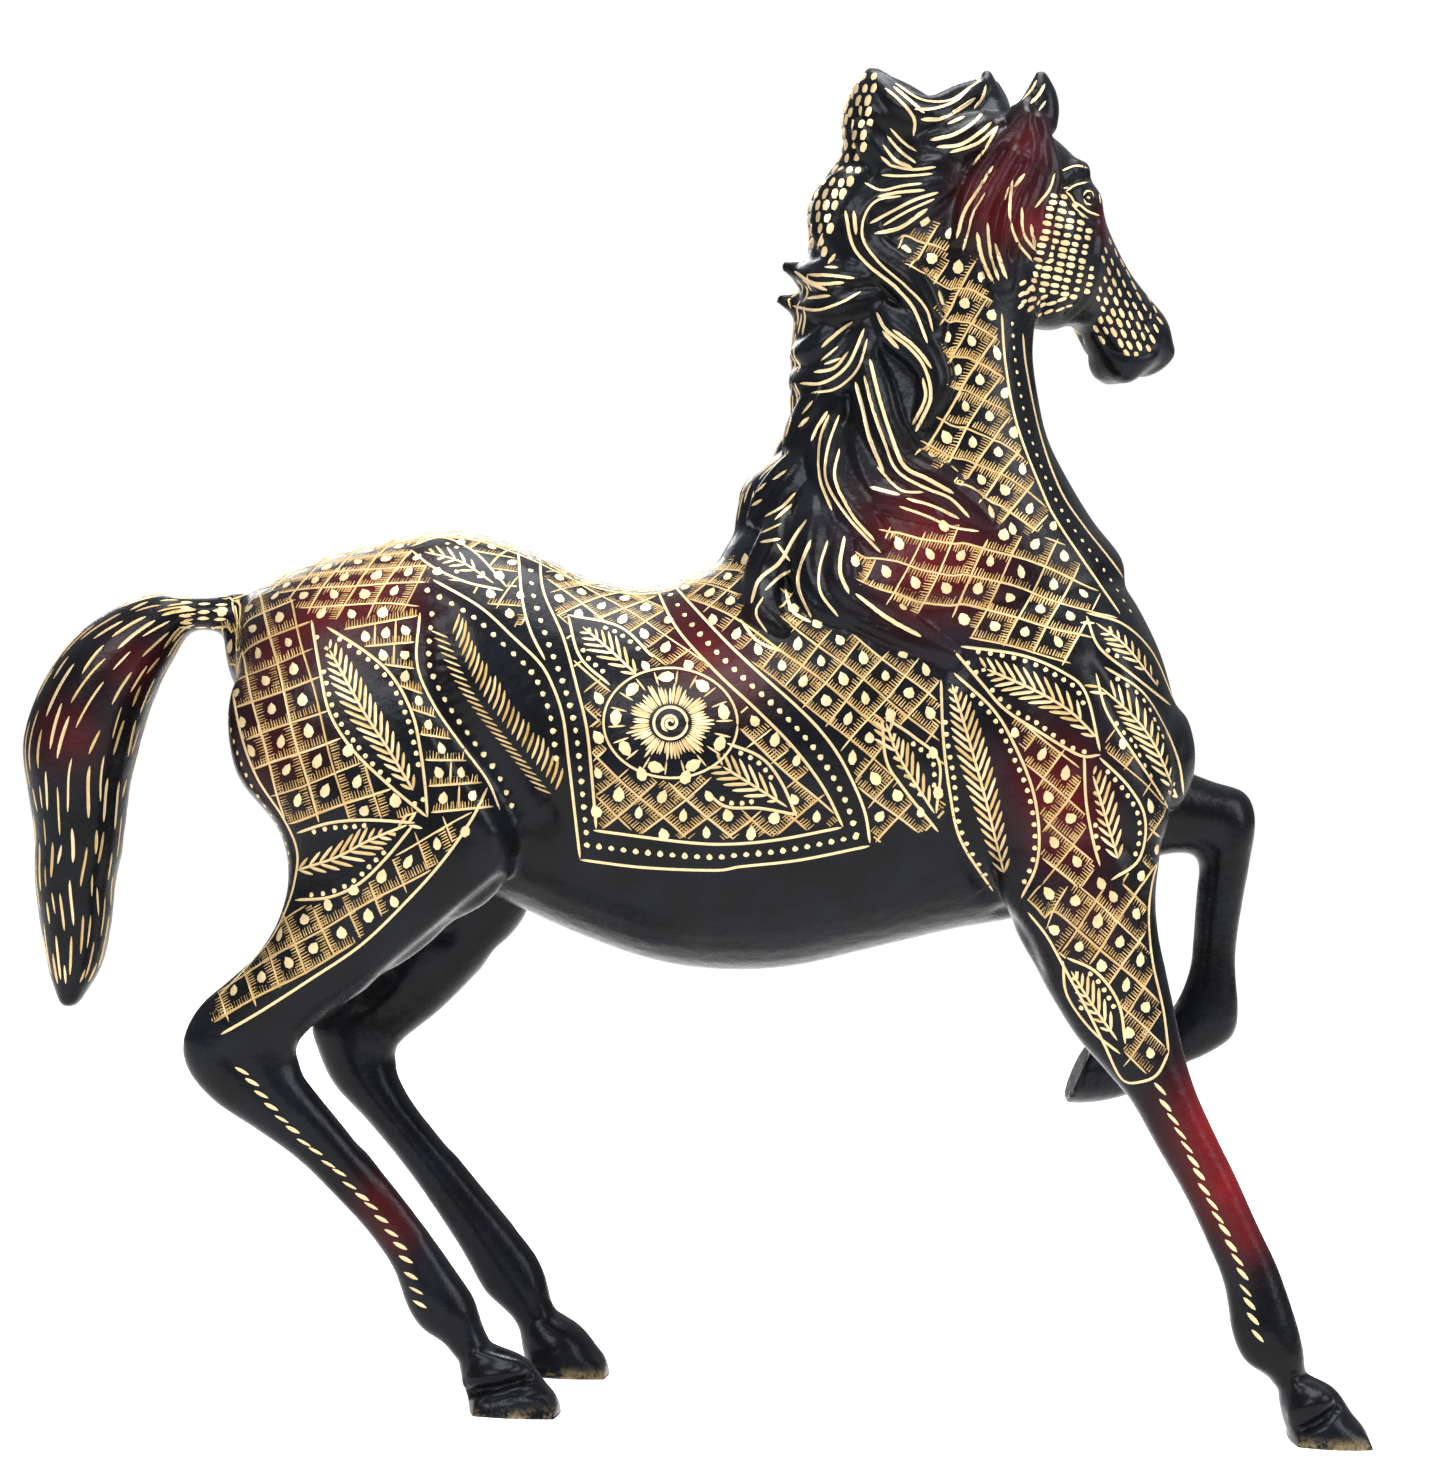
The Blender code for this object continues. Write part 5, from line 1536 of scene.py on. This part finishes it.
def rosette(engraver):
    """A flower of rays inside an oval, with a coiled heart."""
    centre = np.array(ROSETTE)

    def around(radius, squash=1.0, turns=1.0, grow=0.0, count=40):
        angle = np.linspace(0, 2 * math.pi * turns, count)
        reach = radius + grow * np.linspace(0, 1, count)
        return np.column_stack([centre[0] + reach * np.cos(angle),
                                centre[1] + reach * squash * np.sin(angle)])

    drawn(engraver, around(0.7, 1, 1.7, 2.0, 20), 0.55, 0.8, 0.8, smooth=False)
    drawn(engraver, around(5.0, 0.95), 0.5, 0.75, 1.0, smooth=False)
    drawn(engraver, around(20, 0.82, count=70), 0.42, 0.6, smooth=False)
    for k in range(RAYS):
        angle = 2 * math.pi * (k + jitter(0.25)) / RAYS
        d = np.array([math.cos(angle), math.sin(angle) * 0.9])
        reach = 12.0 + math.cos(PETALS * angle) + jitter(1.0)
        drawn(engraver, [centre + d * 6.4, centre + d * reach], 0.5, 0.55 + jitter(0.35), 1.4)
    for k in range(PETALS):
        angle = 2 * math.pi * (k + 0.4) / PETALS
        d = np.array([math.cos(angle), math.sin(angle) * 0.84])
        spot = centre + d * 16.4
        engraver.chip(*both_seen(engraver, spot, spot + (-d[1], d[0])), 5.6, 3.4, 0.9)
        for turn in (-0.16, 0.16):
            side = np.array([math.cos(angle + 0.35 + turn), math.sin(angle + 0.35 + turn) * 0.84])
            drawn(engraver, [centre + side * 13.6, centre + side * 18.6], 0.36, 0.5)


def scales(engraver, outline, first, row_step, next_row, angle, size, stagger):
    """Rows of short cuts, like scales."""
    a, b = heading(*row_step), heading(*next_row)
    for i in range(-22, 23):
        for j in range(-30, 31):
            p = np.array(first) + a * (i + stagger * (j % 2)) + b * j + (jitter(0.28), jitter(0.28))
            if inside(list(outline), p[None])[0]:
                aim, grown = heading(angle + jitter(7)), 1 + jitter(0.13)
                pair = both_seen(engraver, p, p + aim)
                if pair:
                    engraver.chip(*pair, size[0] * grown, size[1] * grown, 0.75 + jitter(0.3), SCALE)


def mane(engraver):
    """The long cuts that follow the hair."""
    for path in MANE_CUTS:
        drawn(engraver, path, 0.56 + jitter(0.14), 0.8 + jitter(0.25), 1.1)


def tail(engraver):
    """Strokes that follow the hair of the tail, all round it."""
    rows = smooth_rows(TAIL, 8)
    centre, axis, across = section_axes(rows)
    for lane in range(TAIL_LANES):
        phi = 2 * math.pi * (lane + jitter(0.25)) / TAIL_LANES
        start = rng.randrange(12, 20)
        while start < len(rows) - 8:
            count = min(rng.randrange(5, 12), len(rows) - 5 - start)
            sway, line = jitter(0.1), []
            for k in range(start, start + count):
                angle = phi + sway * (k - start) / count
                line.append(centre[k] + axis[k] * math.cos(angle) + across[k] * math.sin(angle))
            if len(line) > 2:
                engraver.cut(line, 0.46 + jitter(0.16), 0.5 + jitter(0.4), both=False)
            start += count + rng.randrange(1, 6)


def leg_dashes(engraver, path, lean, length, gap):
    """A row of slanting dashes down the outer side of a leg and of its twin."""
    reach = heading(lean, length / 2)
    for p in rounded(path, gap):
        p = p + (jitter(0.4), jitter(0.4))
        drawn(engraver, [p - reach, p + reach], 0.6 + jitter(0.12), 0.9 + jitter(0.1))


def flank_rib(engraver):
    """The long barbs in the hollow of the flank."""
    for p in rounded(FLANK_RIB, 2.3):
        long_barb = [p + (0.8, 1.0), p + (2.2, 5.0), p + (2.6, 8.5 + jitter(1.5))]
        drawn(engraver, long_barb, 0.5, 0.25 + jitter(0.3))
        drawn(engraver, [p + (-0.6, -0.2), p + (-5.6, 1.6)], 0.35, 0.35 + jitter(0.2))


def ornament(skin_tree, cad_tree, owner, brass):
    """All the engraving, over both flanks."""
    engraver = Engraver(skin_tree, cad_tree, owner)
    charts = {line: Chart(skin_tree, line) for line in (FLANK_LINE, GASKIN_LINE, FORELEG_LINE)}
    for outline, corner, edge_a, edge_b, line in FIELDS:
        field(engraver, charts[line], outline, corner, edge_a, edge_b)
    for row in LADDERS:
        ladder(engraver, *row)
    spine(engraver)
    back_of_mane(engraver)
    for path in BORDERS:
        drawn(engraver, path, 0.5, 0.65 + jitter(0.1), 1.3)
    for first, second, size in BEADED_BANDS:
        middle = (sampled(first, 60) + sampled(second, 60)) / 2
        dots_along(engraver, middle, 3.7, size, 0.8)
    for row in BEADS:
        dots_along(engraver, *row)
    for row in LEAVES:
        leaf(engraver, *row)
    flank_rib(engraver)
    rosette(engraver)
    for row in SCALES:
        scales(engraver, *row)
    mane(engraver)
    tail(engraver)
    for row in LEG_DASHES:
        leg_dashes(engraver, *row)
    for path in EYE_CUTS:
        drawn(engraver, path, 0.38, 0.7 + jitter(0.2), 0.8)
    for path in CROUP_CUTS:
        drawn(engraver, path, 0.4, 0.45 + jitter(0.25))
    engraver.objects(brass)


def studio():
    """A plain pale floor, a white surround and soft lights."""
    world = bpy.data.worlds.new("surround")
    bpy.context.scene.world = world
    world.use_nodes = True
    tree = world.node_tree
    add, link = tree.nodes.new, tree.links.new
    # The surround shows plain white, and what lights the horse is bright above and dim at its sides.
    split = add("ShaderNodeSeparateXYZ")
    link(add("ShaderNodeTexCoord").outputs["Generated"], split.inputs[0])
    height = add("ShaderNodeMapRange")
    for key, value in (("From Min", 0.05), ("From Max", 0.9), ("To Min", 0.16), ("To Max", 0.95)):
        height.inputs[key].default_value = value
    link(split.outputs["Z"], height.inputs["Value"])
    sky = tree.nodes["Background"]
    sky.inputs["Color"].default_value = (0.92, 0.96, 1.0, 1)
    link(height.outputs["Result"], sky.inputs["Strength"])
    white = add("ShaderNodeBackground")
    white.inputs["Color"].default_value = (1, 1, 1, 1)
    shown = add("ShaderNodeMixShader")
    link(add("ShaderNodeLightPath").outputs["Is Camera Ray"], shown.inputs[0])
    link(sky.outputs[0], shown.inputs[1])
    link(white.outputs[0], shown.inputs[2])
    link(shown.outputs[0], tree.nodes["World Output"].inputs["Surface"])
    bpy.ops.mesh.primitive_plane_add(size=FLOOR_SIZE, location=(0, 0, 0))
    floor = bpy.context.object
    floor.name = "floor"
    pale = bpy.data.materials.new("floor_paper")
    pale.use_nodes = True
    shader = pale.node_tree.nodes["Principled BSDF"].inputs
    for key, value in (("Base Color", (*FLOOR_COLOUR, 1)), ("Roughness", 0.9), ("Specular IOR Level", 0.0),
                       ("Emission Color", (1, 1, 1, 1)), ("Emission Strength", FLOOR_GLOW)):
        shader[key].default_value = value
    floor.data.materials.append(pale)
    for name, place, size, power in LIGHTS:
        light = bpy.data.lights.new(name, "AREA")
        light.shape = "RECTANGLE"
        light.size, light.size_y = size
        light.energy = power
        light.color = LIGHT_COLOUR
        obj = bpy.data.objects.new(name, light)
        bpy.context.scene.collection.objects.link(obj)
        obj.location = place
        aim = Vector(AIM) - Vector(place)
        obj.rotation_euler = aim.to_track_quat("-Z", "Y").to_euler()
    bpy.context.scene.view_settings.view_transform = "Standard"


def camera():
    """The camera, one metre from the middle plane on the horse's right, rolled by the tilt of the view."""
    lens = bpy.data.cameras.new("camera")
    lens.sensor_width = SENSOR_WIDTH
    lens.lens = FOCAL_LENGTH
    obj = bpy.data.objects.new("camera", lens)
    bpy.context.scene.collection.objects.link(obj)
    place = to_row((0, -EYE_DISTANCE, EYE_HEIGHT))
    obj.matrix_world = (Matrix.Translation(place) @ Matrix.Rotation(math.pi / 2, 4, "X")
                        @ Matrix.Rotation(CAMERA_ROLL, 4, "Z"))
    bpy.context.scene.camera = obj


def painted_points(obj, skin_tree):
    """Gives a skin piece its maroon and its wear, as values at its points."""
    mesh = obj.data
    points = coordinates(mesh) / MM - np.array(LAYOUT_SHIFT)
    maroon = np.zeros(len(points))
    for x, z, radius, amount in MAROON_PATCHES:
        found = seen(skin_tree, x, z)
        if not found:
            continue
        twin = [] if x > BARE_LEFT[0] and z < BARE_LEFT[1] else [to_left([found[0]])[0]]
        for centre in [found[0]] + twin:
            gap = ((points - centre)**2).sum(1)
            maroon += amount * np.exp(-gap / (PATCH_SPREAD * radius)**2)
    height = points[:, 2] - GROUND
    wear = np.clip((WEAR_TOP - height) / WEAR_DEPTH, 0, 1)**WEAR_CURVE * MOST_WEAR
    for name, values in (("maroon", np.minimum(maroon, 1.0)), ("wear", wear)):
        layer = mesh.attributes.new(name, "FLOAT", "POINT")
        layer.data.foreach_set("value", values)

REPLACED = {
    "trunk_right_shell": ["right_foreleg_braze", "right_hind_leg_braze"],
    "trunk_left_shell": ["left_foreleg_braze", "left_hind_leg_braze"],
    "neck_right_shell": ["neck_braze"],
    "head": ["head_braze"],
    "tail": ["tail_braze"],
}


def main():
    lacquer, brass = lacquer_material(), brass_material()
    skin = detailed(sculpted_skin())
    skin_tree = tree_of(skin)
    cad_tree, owner = castings_tree()
    for name, obj in split_skin(skin, cad_tree, owner).items():
        painted_points(obj, skin_tree)
        obj.data.materials.append(lacquer)
        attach(obj, "root")
        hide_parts(name, *REPLACED.get(name, []))
    ornament(skin_tree, cad_tree, owner, brass)
    studio()
    camera()


main()
